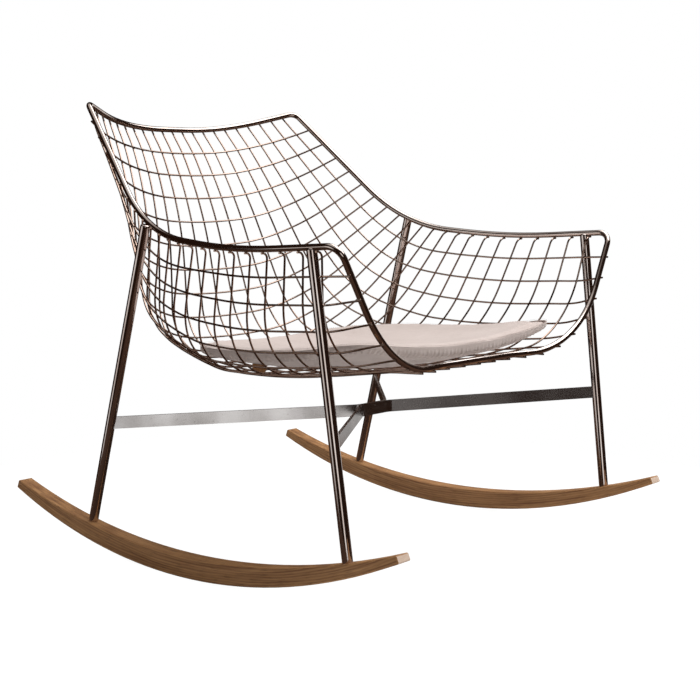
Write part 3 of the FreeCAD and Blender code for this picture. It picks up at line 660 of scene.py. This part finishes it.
@dataclass
class PadShape:
    """Where the seat pad lies: two dished faces inside a rounded outline."""

    low: Vector
    high: Vector
    thick: float = 30.5 * MM
    dish: float = 1.350
    dish_y: float = 0.010
    belly: float = 1.050
    belly_y: float = -0.010
    corner_rear: float = 0.170
    corner_front: float = 0.060
    front_bow: float = 0.007
    outline_fineness: int = 400

    def top(self, x: float, y: float) -> float:
        """Height of the upper face."""
        centre = self.low.z + self.thick + self.dish
        return centre - math.sqrt(self.dish ** 2 - x ** 2 - (y - self.dish_y) ** 2)

    def bottom(self, x: float, y: float) -> float:
        """Height of the underside."""
        centre = self.low.z + self.belly
        return centre - math.sqrt(self.belly ** 2 - x ** 2 - (y - self.belly_y) ** 2)

    def inset(self, x: float, y: float) -> float:
        """How far a point lies inside the outline, taken flat."""
        aside = abs(x)
        front = self.low.y + self.front_bow
        found = min(self.high.x - aside, y - front, self.high.y - y)
        for radius, past in ((self.corner_front, front + self.corner_front - y),
                             (self.corner_rear, y - (self.high.y - self.corner_rear))):
            across = aside - (self.high.x - radius)
            if past > 0.0 and across > 0.0:
                found = min(found, radius - math.hypot(past, across))
        return max(0.0, found)

    def outline(self, step: float) -> list[tuple[Vector, Vector]]:
        """Points round the edge with their outward directions, evenly spaced.

        Args:
            step: about how far apart they are.
        Returns:
            (point, direction) pairs, from the middle of the front, towards +X first.
        """
        half = self.high.x
        front = self.low.y + self.front_bow
        rear = self.high.y
        bow_half = half - self.corner_front
        bow_radius = (bow_half ** 2 + self.front_bow ** 2) / (2.0 * self.front_bow)
        path: list[tuple[Vector, Vector]] = []
        fine = self.outline_fineness
        bow_turn = math.asin(bow_half / bow_radius)
        for number in range(fine):
            turn = bow_turn * number / fine
            out = Vector((math.sin(turn), -math.cos(turn), 0.0))
            path.append((Vector((0.0, self.low.y + bow_radius, 0.0)) + out * bow_radius, out))
        corners = [
            (Vector((half - self.corner_front, front + self.corner_front, 0.0)), self.corner_front, -90.0),
            (Vector((half - self.corner_rear, rear - self.corner_rear, 0.0)), self.corner_rear, 0.0)]
        for centre, radius, first in corners:
            for number in range(fine + 1):
                turn = math.radians(first + 90.0 * number / fine)
                out = Vector((math.cos(turn), math.sin(turn), 0.0))
                path.append((centre + out * radius, out))
        half_loop = path + [(Vector((0.0, rear, 0.0)), Vector((0.0, 1.0, 0.0)))]
        other = [(Vector((-p.x, p.y, 0.0)), Vector((-d.x, d.y, 0.0))) for p, d in reversed(half_loop)]
        return even_loop(half_loop + other[1:], step)


def even_loop(path: list[tuple[Vector, Vector]], step: float) -> list[tuple[Vector, Vector]]:
    """Resample a closed loop of (point, direction) pairs at even distances.

    Args:
        path: the loop; its last pair is the first again.
        step: about how far apart the new pairs are.
    Returns:
        The new pairs, without the closing one.
    """
    lengths = [0.0]
    for (before, _), (after, _) in zip(path, path[1:]):
        lengths.append(lengths[-1] + (after - before).length)
    count = int(round(lengths[-1] / step))
    made = []
    place = 0
    for number in range(count):
        wanted = lengths[-1] * number / count
        while lengths[place + 1] < wanted or lengths[place + 1] == lengths[place]:
            place += 1
        share = (wanted - lengths[place]) / (lengths[place + 1] - lengths[place])
        point = path[place][0].lerp(path[place + 1][0], share)
        made.append((point, path[place][1].lerp(path[place + 1][1], share).normalized()))
    return made


def smooth(value: float) -> float:
    """Smooth step from 0 to 1."""
    held = max(0.0, min(1.0, value))
    return held * held * (3.0 - 2.0 * held)


@dataclass
class LeatherTab:
    """The folded leather tab that hangs through the mesh, inside its CAD solid's corners."""

    low: Vector
    high: Vector
    thick: float = 0.9 * MM
    fold_centre: float = 1.2 * MM
    fold_start: float = 3.4 * MM
    fold_steps: int = 6
    columns: int = 13
    corner_lift: float = 2.2 * MM
    corner_start: float = 6.0 * MM
    corner_reach: float = 5.0 * MM
    ease: float = 0.2 * MM

    def _profile(self) -> list[tuple[float, float]]:
        """The fold seen from its end, as (sideways, height) points from one top edge to the other."""
        low = self.low.z
        half = 0.5 * (self.high.x - self.low.x) - 0.5 * self.thick
        turned = []
        for step in range(self.fold_steps + 1):
            angle = math.pi * (1.0 + step / self.fold_steps)
            turned.append((half * math.cos(angle), low + self.fold_centre + half * math.sin(angle)))
        first = [(-half, self.high.z), (-half, low + self.fold_start)]
        return first + turned + [(half, low + self.fold_start), (half, self.high.z)]

    def build(self) -> bpy.types.Object:
        """Make the tab.

        Returns:
            The tab's object.
        """
        shape = bmesh.new()
        profile = self._profile()
        middle = 0.5 * (self.low.x + self.high.x)
        grid = []
        for column in range(self.columns):
            share = column / (self.columns - 1)
            y = self.low.y + (self.high.y - self.low.y) * share
            edge = math.sqrt(max(0.0, 1.0 - (2.0 * abs(share - 0.5)) ** 6))
            line = []
            for x, z in profile:
                lift = smooth((self.low.z + self.corner_start - z) / self.corner_reach)
                line.append(shape.verts.new((middle + x, y, z + self.corner_lift * (1.0 - edge) * lift)))
            grid.append(line)
        skin(shape, grid, loop=False, tube=False)
        piece = new_piece("pad_leather_tab", shape)
        wall = piece.modifiers.new("wall", "SOLIDIFY")
        wall.thickness = self.thick
        wall.offset = 0.0
        ease = piece.modifiers.new("ease", "BEVEL")
        ease.width = self.ease
        ease.segments = 2
        return fixed(piece)


@dataclass(frozen=True)
class Crease:
    """A short soft crease across the pad's top."""

    x: float
    y: float
    half_length: float
    width: float
    depth: float
    slant: float = 0.10

    def depth_at(self, x: float, y: float) -> float:
        """Depth of the crease at a place."""
        along = abs(x - self.x) / self.half_length
        across = abs(y - self.y + self.slant * (x - self.x)) / self.width
        if along >= 1.0 or across >= 3.0:
            return 0.0
        return self.depth * (1.0 - along ** 2) * math.exp(-across * across)


@dataclass
class SeatPad:
    """The stuffed pad: its cushion, gathered border, piping, stitches and tab."""

    node: bpy.types.Object
    wardrobe: Wardrobe
    shape: PadShape
    merge: float = 0.01 * MM
    voxel: float = 5.5 * MM
    shrink: float = 2.5 * MM
    cap: float = 5.0 * MM
    pressure: float = 4.0
    frames: int = 20
    cloth_quality: int = 4
    cloth_mass: float = 0.3
    cloth_stretch: float = 18.0
    cloth_bend: float = 0.8
    air: float = 0.4 * MM
    seam_drop: float = 9.0 * MM
    edge_round: float = 7.0 * MM
    gather_pitch: float = 9.5 * MM
    gather_high: float = 3.9 * MM
    recess: float = 4.8 * MM
    edge_pull: float = 1.1 * MM
    pull_reach: float = 38.0 * MM
    pull_centre_y: float = -70.0 * MM
    pulls: float = 17.0
    top_faces: float = 0.3
    lump: float = 1.1 * MM
    small_lump: float = 0.4 * MM
    sink: float = 0.4 * MM
    border_step: float = 1.15 * MM
    border_rows: int = 15
    border_cloth: float = 0.6 * MM
    border_air: float = 0.7 * MM
    hem: float = 6.0 * MM
    piping: float = 0.8 * MM
    piping_step: float = 2.6 * MM
    piping_in: float = 1.1 * MM
    piping_sides: int = 8
    stitch_guide: float = 3.2 * MM
    stitch_rise: float = 2.6 * MM
    stitch_in: float = 0.55 * MM
    stitch_pitch: float = 4.2 * MM
    stitch_length: float = 2.8 * MM
    thread: float = 0.5 * MM
    creases: tuple[Crease, ...] = (
        Crease(-0.003, -0.264, 0.018, 2.8 * MM, 2.6 * MM),
        Crease(0.046, -0.276, 0.024, 2.8 * MM, 2.8 * MM),
        Crease(0.120, -0.240, 0.050, 6.0 * MM, 1.2 * MM),
        Crease(-0.110, -0.225, 0.060, 7.0 * MM, 1.2 * MM))

    def cushion(self) -> bpy.types.Object:
        """The stuffed body of the pad, swollen by a cloth simulation.

        Returns:
            The cushion's object.
        """
        shape = bmesh.new()
        shape.from_mesh(self.node.data)
        bmesh.ops.remove_doubles(shape, verts=shape.verts, dist=self.merge)
        limit = BVHTree.FromBMesh(shape)
        piece = new_piece("pad_cushion", shape)
        remesh = piece.modifiers.new("remesh", "REMESH")
        remesh.mode = "VOXEL"
        remesh.voxel_size = self.voxel
        fixed(piece)
        mesh = piece.data
        for vertex, place in zip(mesh.vertices, [v.co - v.normal * self.shrink for v in mesh.vertices]):
            vertex.co = place
        self._swell(piece)
        finer = piece.modifiers.new("finer", "SUBSURF")
        finer.levels = 1
        finer.render_levels = 1
        fixed(piece)
        self._settle(piece.data, limit)
        smooth_shaded(piece.data)
        return piece

    def _swell(self, piece: bpy.types.Object) -> None:
        """Run the cloth simulation and keep its result, each point moved no further than the cap."""
        start = [vertex.co.copy() for vertex in piece.data.vertices]
        cloth = piece.modifiers.new("cloth", "CLOTH")
        cloth.settings.use_pressure = True
        cloth.settings.uniform_pressure_force = self.pressure
        cloth.settings.quality = self.cloth_quality
        cloth.settings.mass = self.cloth_mass
        cloth.settings.tension_stiffness = self.cloth_stretch
        cloth.settings.compression_stiffness = self.cloth_stretch
        cloth.settings.bending_stiffness = self.cloth_bend
        cloth.settings.effector_weights.gravity = 0.0
        cloth.collision_settings.use_self_collision = False
        cloth.point_cache.frame_start = 1
        cloth.point_cache.frame_end = self.frames
        scene = bpy.context.scene
        for frame in range(1, self.frames + 1):
            scene.frame_set(frame)
        fixed(piece)
        scene.frame_set(1)
        for vertex, before in zip(piece.data.vertices, start):
            moved = vertex.co - before
            if moved.length > self.cap:
                vertex.co = before + moved.normalized() * self.cap

    def _settle(self, mesh: bpy.types.Mesh, limit: BVHTree) -> None:
        """Keep the cushion inside its CAD solid, with soft creases and a recess for the border.

        Args:
            mesh: the cushion's mesh, which is changed.
            limit: the faces of the CAD solid.
        """
        settled: list[float] = []
        for start, out in [(vertex.co.copy(), vertex.normal.copy()) for vertex in mesh.vertices]:
            wave = noise.noise(start * 16.0) * self.lump + noise.noise(start * 38.0) * self.small_lump
            point = start + out * (wave - self.sink)
            if out.z > self.top_faces:
                crease = sum(each.depth_at(point.x, point.y) for each in self.creases)
                point.z -= crease + self._pull(point)
            point = point - out * self._recess(point)
            nearest, normal, _, _ = limit.find_nearest(point)
            if (point - nearest).dot(normal) > -self.air:
                point = nearest - normal * self.air
            settled.extend(point)
        mesh.vertices.foreach_set("co", settled)
        mesh.update()

    def _recess(self, point: Vector) -> float:
        """How far the side lies back below the seam, to make room for the border."""
        edge = self.shape.bottom(point.x, point.y)
        depth = self.shape.top(point.x, point.y) - self.seam_drop - point.z
        over_belly = point.z - edge
        return self.recess * smooth(depth / (3.0 * MM)) * smooth((over_belly + 4.0 * MM) / (4.0 * MM))

    def _pull(self, point: Vector) -> float:
        """Depth of the small pulls that run in from the seam over the edge of the top."""
        inset = self.shape.inset(point.x, point.y)
        if inset > self.pull_reach:
            return 0.0
        angle = math.atan2(point.y - self.pull_centre_y, point.x)
        round_loop = Vector((math.cos(angle), math.sin(angle), 0.0)) * self.pulls
        round_loop.z = inset * 12.0
        fade = 1.0 - smooth(inset / self.pull_reach)
        return self.edge_pull * fade * (0.5 + noise.noise(round_loop))

    def border(self) -> bpy.types.Object:
        """The gathered strip sewn round the side, from the seam to the underside.

        Returns:
            The strip's object.
        """
        shape = bmesh.new()
        loop = self.shape.outline(self.border_step)
        rings = []
        run = 0.0
        previous = loop[-1][0]
        for point, out in loop:
            run += (point - previous).length
            previous = point
            ring = []
            for row in range(self.border_rows):
                share = row / (self.border_rows - 1)
                place, normal = self._border_point(point, out, share)
                ring.append(shape.verts.new(place + normal * self._gather(run, share)))
            rings.append(ring)
        skin(shape, rings, loop=True, tube=False)
        strip = new_piece("pad_border", shape)
        wall = strip.modifiers.new("wall", "SOLIDIFY")
        wall.thickness = self.border_cloth
        wall.offset = -1.0
        return fixed(strip)

    def _border_point(self, point: Vector, out: Vector, share: float) -> tuple[Vector, Vector]:
        """A point of the border's profile and its outward direction.

        Args:
            point: the place on the outline.
            out: the outline's outward direction there.
            share: 0 at the seam, 1 at the hem below.
        Returns:
            (point, direction)
        """
        top = self.shape.top(point.x, point.y) - self.seam_drop
        radius = self.edge_round
        bottom = self.shape.bottom(point.x, point.y)
        drop = max(1.0 * MM, top - bottom - radius)
        turn_length = 0.5 * math.pi * radius
        run = share * (drop + turn_length + self.hem)
        if run < drop:
            return Vector((point.x, point.y, top - run)), out
        if run < drop + turn_length:
            angle = (run - drop) / radius
            centre = Vector((point.x, point.y, bottom + radius)) - out * radius
            normal = out * math.cos(angle) - Vector((0.0, 0.0, math.sin(angle)))
            return centre + normal * radius, normal
        inward = radius + run - drop - turn_length
        place = Vector((point.x, point.y, 0.0)) - out * inward
        place.z = self.shape.bottom(place.x, place.y)
        return place, Vector((0.0, 0.0, -1.0))

    def _gather(self, run: float, share: float) -> float:
        """How far the gathered cloth stands in from the edge, at a distance along the border.

        Args:
            run: distance along the outline.
            share: 0 at the seam, 1 at the hem below.
        Returns:
            The distance, which is never outwards.
        """
        drift = noise.noise(Vector((run * 23.0, 0.0, 0.0))) * 2.2
        phase = 2.0 * math.pi * run / self.gather_pitch + drift
        strength = 0.55 + 0.45 * noise.noise(Vector((run * 61.0, 4.0, 0.0)))
        fold = (0.5 + 0.5 * math.sin(phase)) ** 1.6
        second = 0.5 + 0.5 * math.sin(1.7 * phase + 1.3)
        grow = smooth((share - 0.05) / 0.45) * (1.0 - 0.35 * smooth((share - 0.8) / 0.2))
        bulge = math.sin(math.pi * min(1.0, share * 1.1)) * 0.3 * MM
        depth = self.gather_high * strength * grow * (0.75 * (1.0 - fold) + 0.25 * second)
        return bulge - depth - self.border_air

    def seam(self) -> bpy.types.Object:
        """The piping along the seam between the top panel and the border."""
        shape = bmesh.new()
        rings = []
        for point, out in self.shape.outline(self.piping_step):
            height = self.shape.top(point.x, point.y) - self.seam_drop
            centre = Vector((point.x, point.y, height)) - out * self.piping_in
            ring = []
            for side in range(self.piping_sides):
                angle = 2.0 * math.pi * side / self.piping_sides
                offset = out * math.cos(angle) + Vector((0.0, 0.0, math.sin(angle)))
                ring.append(shape.verts.new(centre + offset * self.piping))
            rings.append(ring)
        skin(shape, rings, loop=True, tube=True)
        return new_piece("pad_piping", shape)

    def stitches(self) -> bpy.types.Object:
        """The row of stitches just above the seam, repeated along it by Geometry Nodes."""
        guide = bmesh.new()
        previous = None
        first = None
        for point, out in self.shape.outline(self.stitch_guide):
            height = self.shape.top(point.x, point.y) - self.seam_drop + self.stitch_rise
            place = Vector((point.x, point.y, height)) - out * self.stitch_in
            vertex = guide.verts.new(place)
            if previous is not None:
                guide.edges.new((previous, vertex))
            previous = vertex
            first = first or vertex
        guide.edges.new((previous, first))
        mesh = bpy.data.meshes.new("pad_stitches")
        guide.to_mesh(mesh)
        guide.free()
        piece = shown("pad_stitches", mesh)
        tree = stitch_tree(self.wardrobe.material(Finish.THREAD))
        repeat(piece, tree, {"Pitch": self.stitch_pitch, "Length": self.stitch_length,
                             "Thickness": self.thread})
        return piece

    def build(self, tab_box: tuple[Vector, Vector]) -> list[bpy.types.Object]:
        """Make every piece of the pad, dress it and hang it on its body.

        Args:
            tab_box: lowest and highest corners of the tab's CAD solid.
        Returns:
            The pieces.
        """
        cushion = self.cushion()
        border = self.border()
        piping = self.seam()
        stitches = self.stitches()
        tab = LeatherTab(*tab_box).build()
        for piece, finish, slot in (
                (cushion, Finish.FABRIC, "pad_fabric"), (border, Finish.FABRIC, "pad_fabric"),
                (piping, Finish.FABRIC, "pad_fabric"), (stitches, Finish.THREAD, "pad_fabric"),
                (tab, Finish.LEATHER, "tab_leather")):
            self.wardrobe.dress(piece, finish)
            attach(piece, "pad")
            log.info("%s: %d vertices", piece.name, len(piece.data.vertices))
        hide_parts("seat_pad")
        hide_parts("pad_tab")
        return [cushion, border, piping, stitches, tab]


class GeometryTree:
    """Builds one Geometry Nodes tree with named number inputs."""

    def __init__(self, name: str, sizes: tuple[str, ...]) -> None:
        """Start a tree.

        Args:
            name: the tree's name.
            sizes: names of its number inputs.
        """
        self.group = bpy.data.node_groups.new(name, "GeometryNodeTree")
        sockets = self.group.interface
        sockets.new_socket("Geometry", in_out="INPUT", socket_type="NodeSocketGeometry")
        for size in sizes:
            sockets.new_socket(size, in_out="INPUT", socket_type="NodeSocketFloat")
        sockets.new_socket("Geometry", in_out="OUTPUT", socket_type="NodeSocketGeometry")
        self.given = self.group.nodes.new("NodeGroupInput").outputs

    def node(self, kind: str, settings: dict, inputs: dict) -> object:
        """Add a node.

        Args:
            kind: the node's type.
            settings: properties that are set before its sockets.
            inputs: values or output sockets by socket name or number.
        Returns:
            The node's outputs.
        """
        made = self.group.nodes.new(kind)
        for name, value in settings.items():
            setattr(made, name, value)
        for key, value in inputs.items():
            if isinstance(value, bpy.types.NodeSocket):
                self.group.links.new(value, made.inputs[key])
            else:
                made.inputs[key].default_value = value
        return made.outputs

    def close(self, copies: bpy.types.NodeSocket, finish: bpy.types.Material) -> bpy.types.NodeTree:
        """End the tree with real copies in their material.

        Args:
            copies: the instances.
            finish: their material.
        Returns:
            The finished tree.
        """
        real = self.node("GeometryNodeRealizeInstances", {}, {0: copies})[0]
        painted = self.node("GeometryNodeSetMaterial", {}, {"Geometry": real, "Material": finish})[0]
        leave = self.group.nodes.new("NodeGroupOutput")
        self.group.links.new(painted, leave.inputs[0])
        return self.group


def stitch_tree(thread: bpy.types.Material) -> bpy.types.NodeTree:
    """Geometry Nodes tree that lays short rounded stitches along a line of edges.

    Args:
        thread: the stitches' material.
    Returns:
        The tree, with inputs Pitch, Length and Thickness.
    """
    tree = GeometryTree("stitch_row", ("Pitch", "Length", "Thickness"))
    given = tree.given
    line = tree.node("GeometryNodeMeshToCurve", {}, {0: given["Geometry"]})[0]
    row = tree.node("GeometryNodeCurveToPoints", {"mode": "LENGTH"},
                    {"Curve": line, "Length": given["Pitch"]})
    bead = tree.node("GeometryNodeMeshUVSphere", {}, {"Segments": 6, "Rings": 5, "Radius": 0.5})
    size = tree.node("ShaderNodeCombineXYZ", {}, {
        "X": given["Thickness"], "Y": given["Thickness"], "Z": given["Length"]})[0]
    copies = tree.node("GeometryNodeInstanceOnPoints", {}, {
        "Points": row["Points"], "Rotation": row["Rotation"], "Instance": bead["Mesh"], "Scale": size})
    return tree.close(copies[0], thread)


def bead_tree(metal: bpy.types.Material) -> bpy.types.NodeTree:
    """Geometry Nodes tree that puts a small uneven bead on every point.

    Args:
        metal: the beads' material.
    Returns:
        The tree, with inputs Radius and Unevenness.
    """
    tree = GeometryTree("beads", ("Radius", "Unevenness"))
    given = tree.given
    points = tree.node("GeometryNodeMeshToPoints", {}, {"Mesh": given["Geometry"]})
    bead = tree.node("GeometryNodeMeshIcoSphere", {}, {"Radius": 1.0, "Subdivisions": 2})
    least = tree.node("ShaderNodeMath", {"operation": "SUBTRACT"}, {0: 1.0, 1: given["Unevenness"]})[0]
    chance = tree.node("FunctionNodeRandomValue", {"data_type": "FLOAT"}, {"Seed": 7, 2: least, 3: 1.0})[1]
    size = tree.node("ShaderNodeMath", {"operation": "MULTIPLY"}, {0: chance, 1: given["Radius"]})[0]
    copies = tree.node("GeometryNodeInstanceOnPoints", {}, {
        "Points": points["Points"], "Instance": bead["Mesh"], "Scale": size})
    return tree.close(copies[0], metal)


def repeat(piece: bpy.types.Object, tree: bpy.types.NodeTree, sizes: dict[str, float]) -> None:
    """Run a Geometry Nodes tree on a piece and keep the result as its plain mesh.

    Args:
        piece: the points or edges that the tree works on.
        tree: the tree.
        sizes: values of the tree's inputs by name.
    """
    copies = piece.modifiers.new("copies", "NODES")
    copies.node_group = tree
    for item in tree.interface.items_tree:
        if item.item_type == "SOCKET" and item.in_out == "INPUT" and item.name in sizes:
            copies[item.identifier] = sizes[item.name]
    fixed(piece)
    smooth_shaded(piece.data)


@dataclass(frozen=True)
class Panel:
    """A bright upright panel of the room, which polished metal mirrors."""

    toward: tuple[float, float]
    narrow: float
    edge: float
    full: float
    strength: float

    def seen(self, x: Socket, y: Socket, z: Socket) -> Socket:
        """How bright the panel is in a direction."""
        facing = x * self.toward[0] + y * self.toward[1] - abs(z) * self.narrow
        return facing.ramp(self.edge, self.full) * self.strength


@dataclass
class Studio:
    """Camera, pale floor and plain soft light."""

    camera_place: Vector = field(default_factory=lambda: Vector((-1.7775, -1.6265, 0.6212)))
    yaw: float = -48.183
    pitch: float = -6.893
    focal_pixels: float = 1400.0
    image_pixels: float = 700.0
    sensor: float = 36.0
    floor_half: float = 0.95
    floor_paint: Colour = (0.86, 0.86, 0.86)
    floor_mirrored: Colour = (0.085, 0.050, 0.036)
    floor_glow: float = 1.12
    floor_glow_share: float = 0.88
    sky_low: float = 0.10
    sky_high: float = 0.62
    lamp_power: float = 58.0
    lamp_place: tuple[float, float, float] = (0.9, -0.5, 2.3)
    lamp_aim: tuple[float, float, float] = (0.0, 0.0, 0.3)
    room_dark: Colour = (0.022, 0.010, 0.006)
    room_bright: Colour = (1.25, 1.23, 1.21)
    ceiling: float = 0.6
    panels: tuple[Panel, ...] = (
        Panel((0.97, 0.24), 0.20, 0.90, 0.97, 0.8),
        Panel((-0.88, 0.47), 0.12, 0.90, 0.96, 0.75),
        Panel((-0.62, -0.785), 0.02, 0.962, 0.984, 1.0))

    def camera(self) -> None:
        """Put the camera where the photograph was taken from."""
        data = bpy.data.cameras.new("camera")
        data.sensor_width = self.sensor
        data.lens = self.sensor * self.focal_pixels / self.image_pixels
        data.clip_start = 0.05
        data.clip_end = 60.0
        camera = shown("camera", data)
        turn = math.radians(self.yaw)
        tilt = math.radians(self.pitch)
        ahead = Vector((-math.sin(turn) * math.cos(tilt), math.cos(turn) * math.cos(tilt), math.sin(tilt)))
        camera.location = self.camera_place
        camera.rotation_mode = "QUATERNION"
        camera.rotation_quaternion = ahead.to_track_quat("-Z", "Y")
        bpy.context.scene.camera = camera

    def floor(self) -> None:
        """A pale floor that keeps the chair's shadow and looks white beyond it."""
        half = self.floor_half
        mesh = bpy.data.meshes.new("floor")
        corners = [(-half, -half, 0.0), (half, -half, 0.0), (half, half, 0.0), (-half, half, 0.0)]
        mesh.from_pydata(corners, [], [(0, 1, 2, 3)])
        floor = shown("floor", mesh)
        material = bpy.data.materials.new("floor_paint")
        tree = MaterialTree(material)
        camera_ray = tree.node("ShaderNodeLightPath", {}, {}, "Is Camera Ray")
        glossy_ray = tree.node("ShaderNodeLightPath", {}, {}, "Is Glossy Ray")
        paint = tree.mix(glossy_ray, self.floor_paint, self.floor_mirrored)
        plain = tree.node("ShaderNodeBsdfDiffuse", {}, {"Color": paint})
        white = tree.node("ShaderNodeEmission", {}, {
            "Color": (1.0, 1.0, 1.0, 1.0), "Strength": self.floor_glow})
        share = camera_ray * self.floor_glow_share
        mixed = tree.node("ShaderNodeMixShader", {}, {0: share, 1: plain, 2: white})
        tree.node("ShaderNodeOutputMaterial", {}, {"Surface": mixed})
        mesh.materials.append(material)

    def world(self) -> None:
        """Even light from all round; metal also sees a dark warm room with bright panels."""
        world = bpy.data.worlds.new("studio")
        bpy.context.scene.world = world
        tree = MaterialTree(world)
        camera_ray = tree.node("ShaderNodeLightPath", {}, {}, "Is Camera Ray")
        glossy_ray = tree.node("ShaderNodeLightPath", {}, {}, "Is Glossy Ray")
        direction = tree.node("ShaderNodeTexCoord", {}, {}, "Generated")
        x, y, z = tree.split(direction)
        bright = z.ramp(0.70, 0.88) * self.ceiling
        for panel in self.panels:
            bright = bright + panel.seen(x, y, z)
        room = tree.mix(bright.clamped(), self.room_dark, self.room_bright)
        lift = (z * 0.55 + x * 0.42 - y * 0.26).ramp(-0.45, 0.75)
        soft = tree.mix(lift, (self.sky_low,) * 3, (self.sky_high,) * 3)
        plain = tree.mix(glossy_ray, soft, room)
        colour = tree.mix(camera_ray, plain, (1.0, 1.0, 1.0))
        back = tree.node("ShaderNodeBackground", {}, {"Color": colour, "Strength": 1.0})
        tree.node("ShaderNodeOutputWorld", {}, {"Surface": back})

    def lamps(self) -> None:
        """One wide soft lamp overhead, a little to the sitter's left and in front."""
        data = bpy.data.lights.new("overhead", "AREA")
        data.shape = "RECTANGLE"
        data.size = 2.6
        data.size_y = 2.0
        data.energy = self.lamp_power
        lamp = shown("overhead", data)
        lamp.location = self.lamp_place
        lamp.rotation_mode = "QUATERNION"
        aim = Vector(self.lamp_aim) - Vector(self.lamp_place)
        lamp.rotation_quaternion = aim.to_track_quat("-Z", "Y")

    def build(self) -> None:
        """Set up everything round the chair."""
        bpy.context.scene.view_settings.view_transform = "Standard"
        self.camera()
        self.floor()
        self.world()
        self.lamps()


def main() -> None:
    """Load the frame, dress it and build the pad."""
    logging.basicConfig(level=logging.INFO, format="%(message)s")
    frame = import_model()
    wardrobe = Wardrobe()
    Studio().build()
    dressed = Frame(frame["nodes"], wardrobe).dress()
    log.info("frame: %d nodes dressed", dressed)
    Welds(frame["nodes"], wardrobe).build()
    low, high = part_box("seat_pad")
    pad = SeatPad(frame["nodes"]["seat_pad"], wardrobe, PadShape(low, high))
    pieces = pad.build(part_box("pad_tab"))
    log.info("pad: %d pieces", len(pieces))


if __name__ == "__main__":
    main()
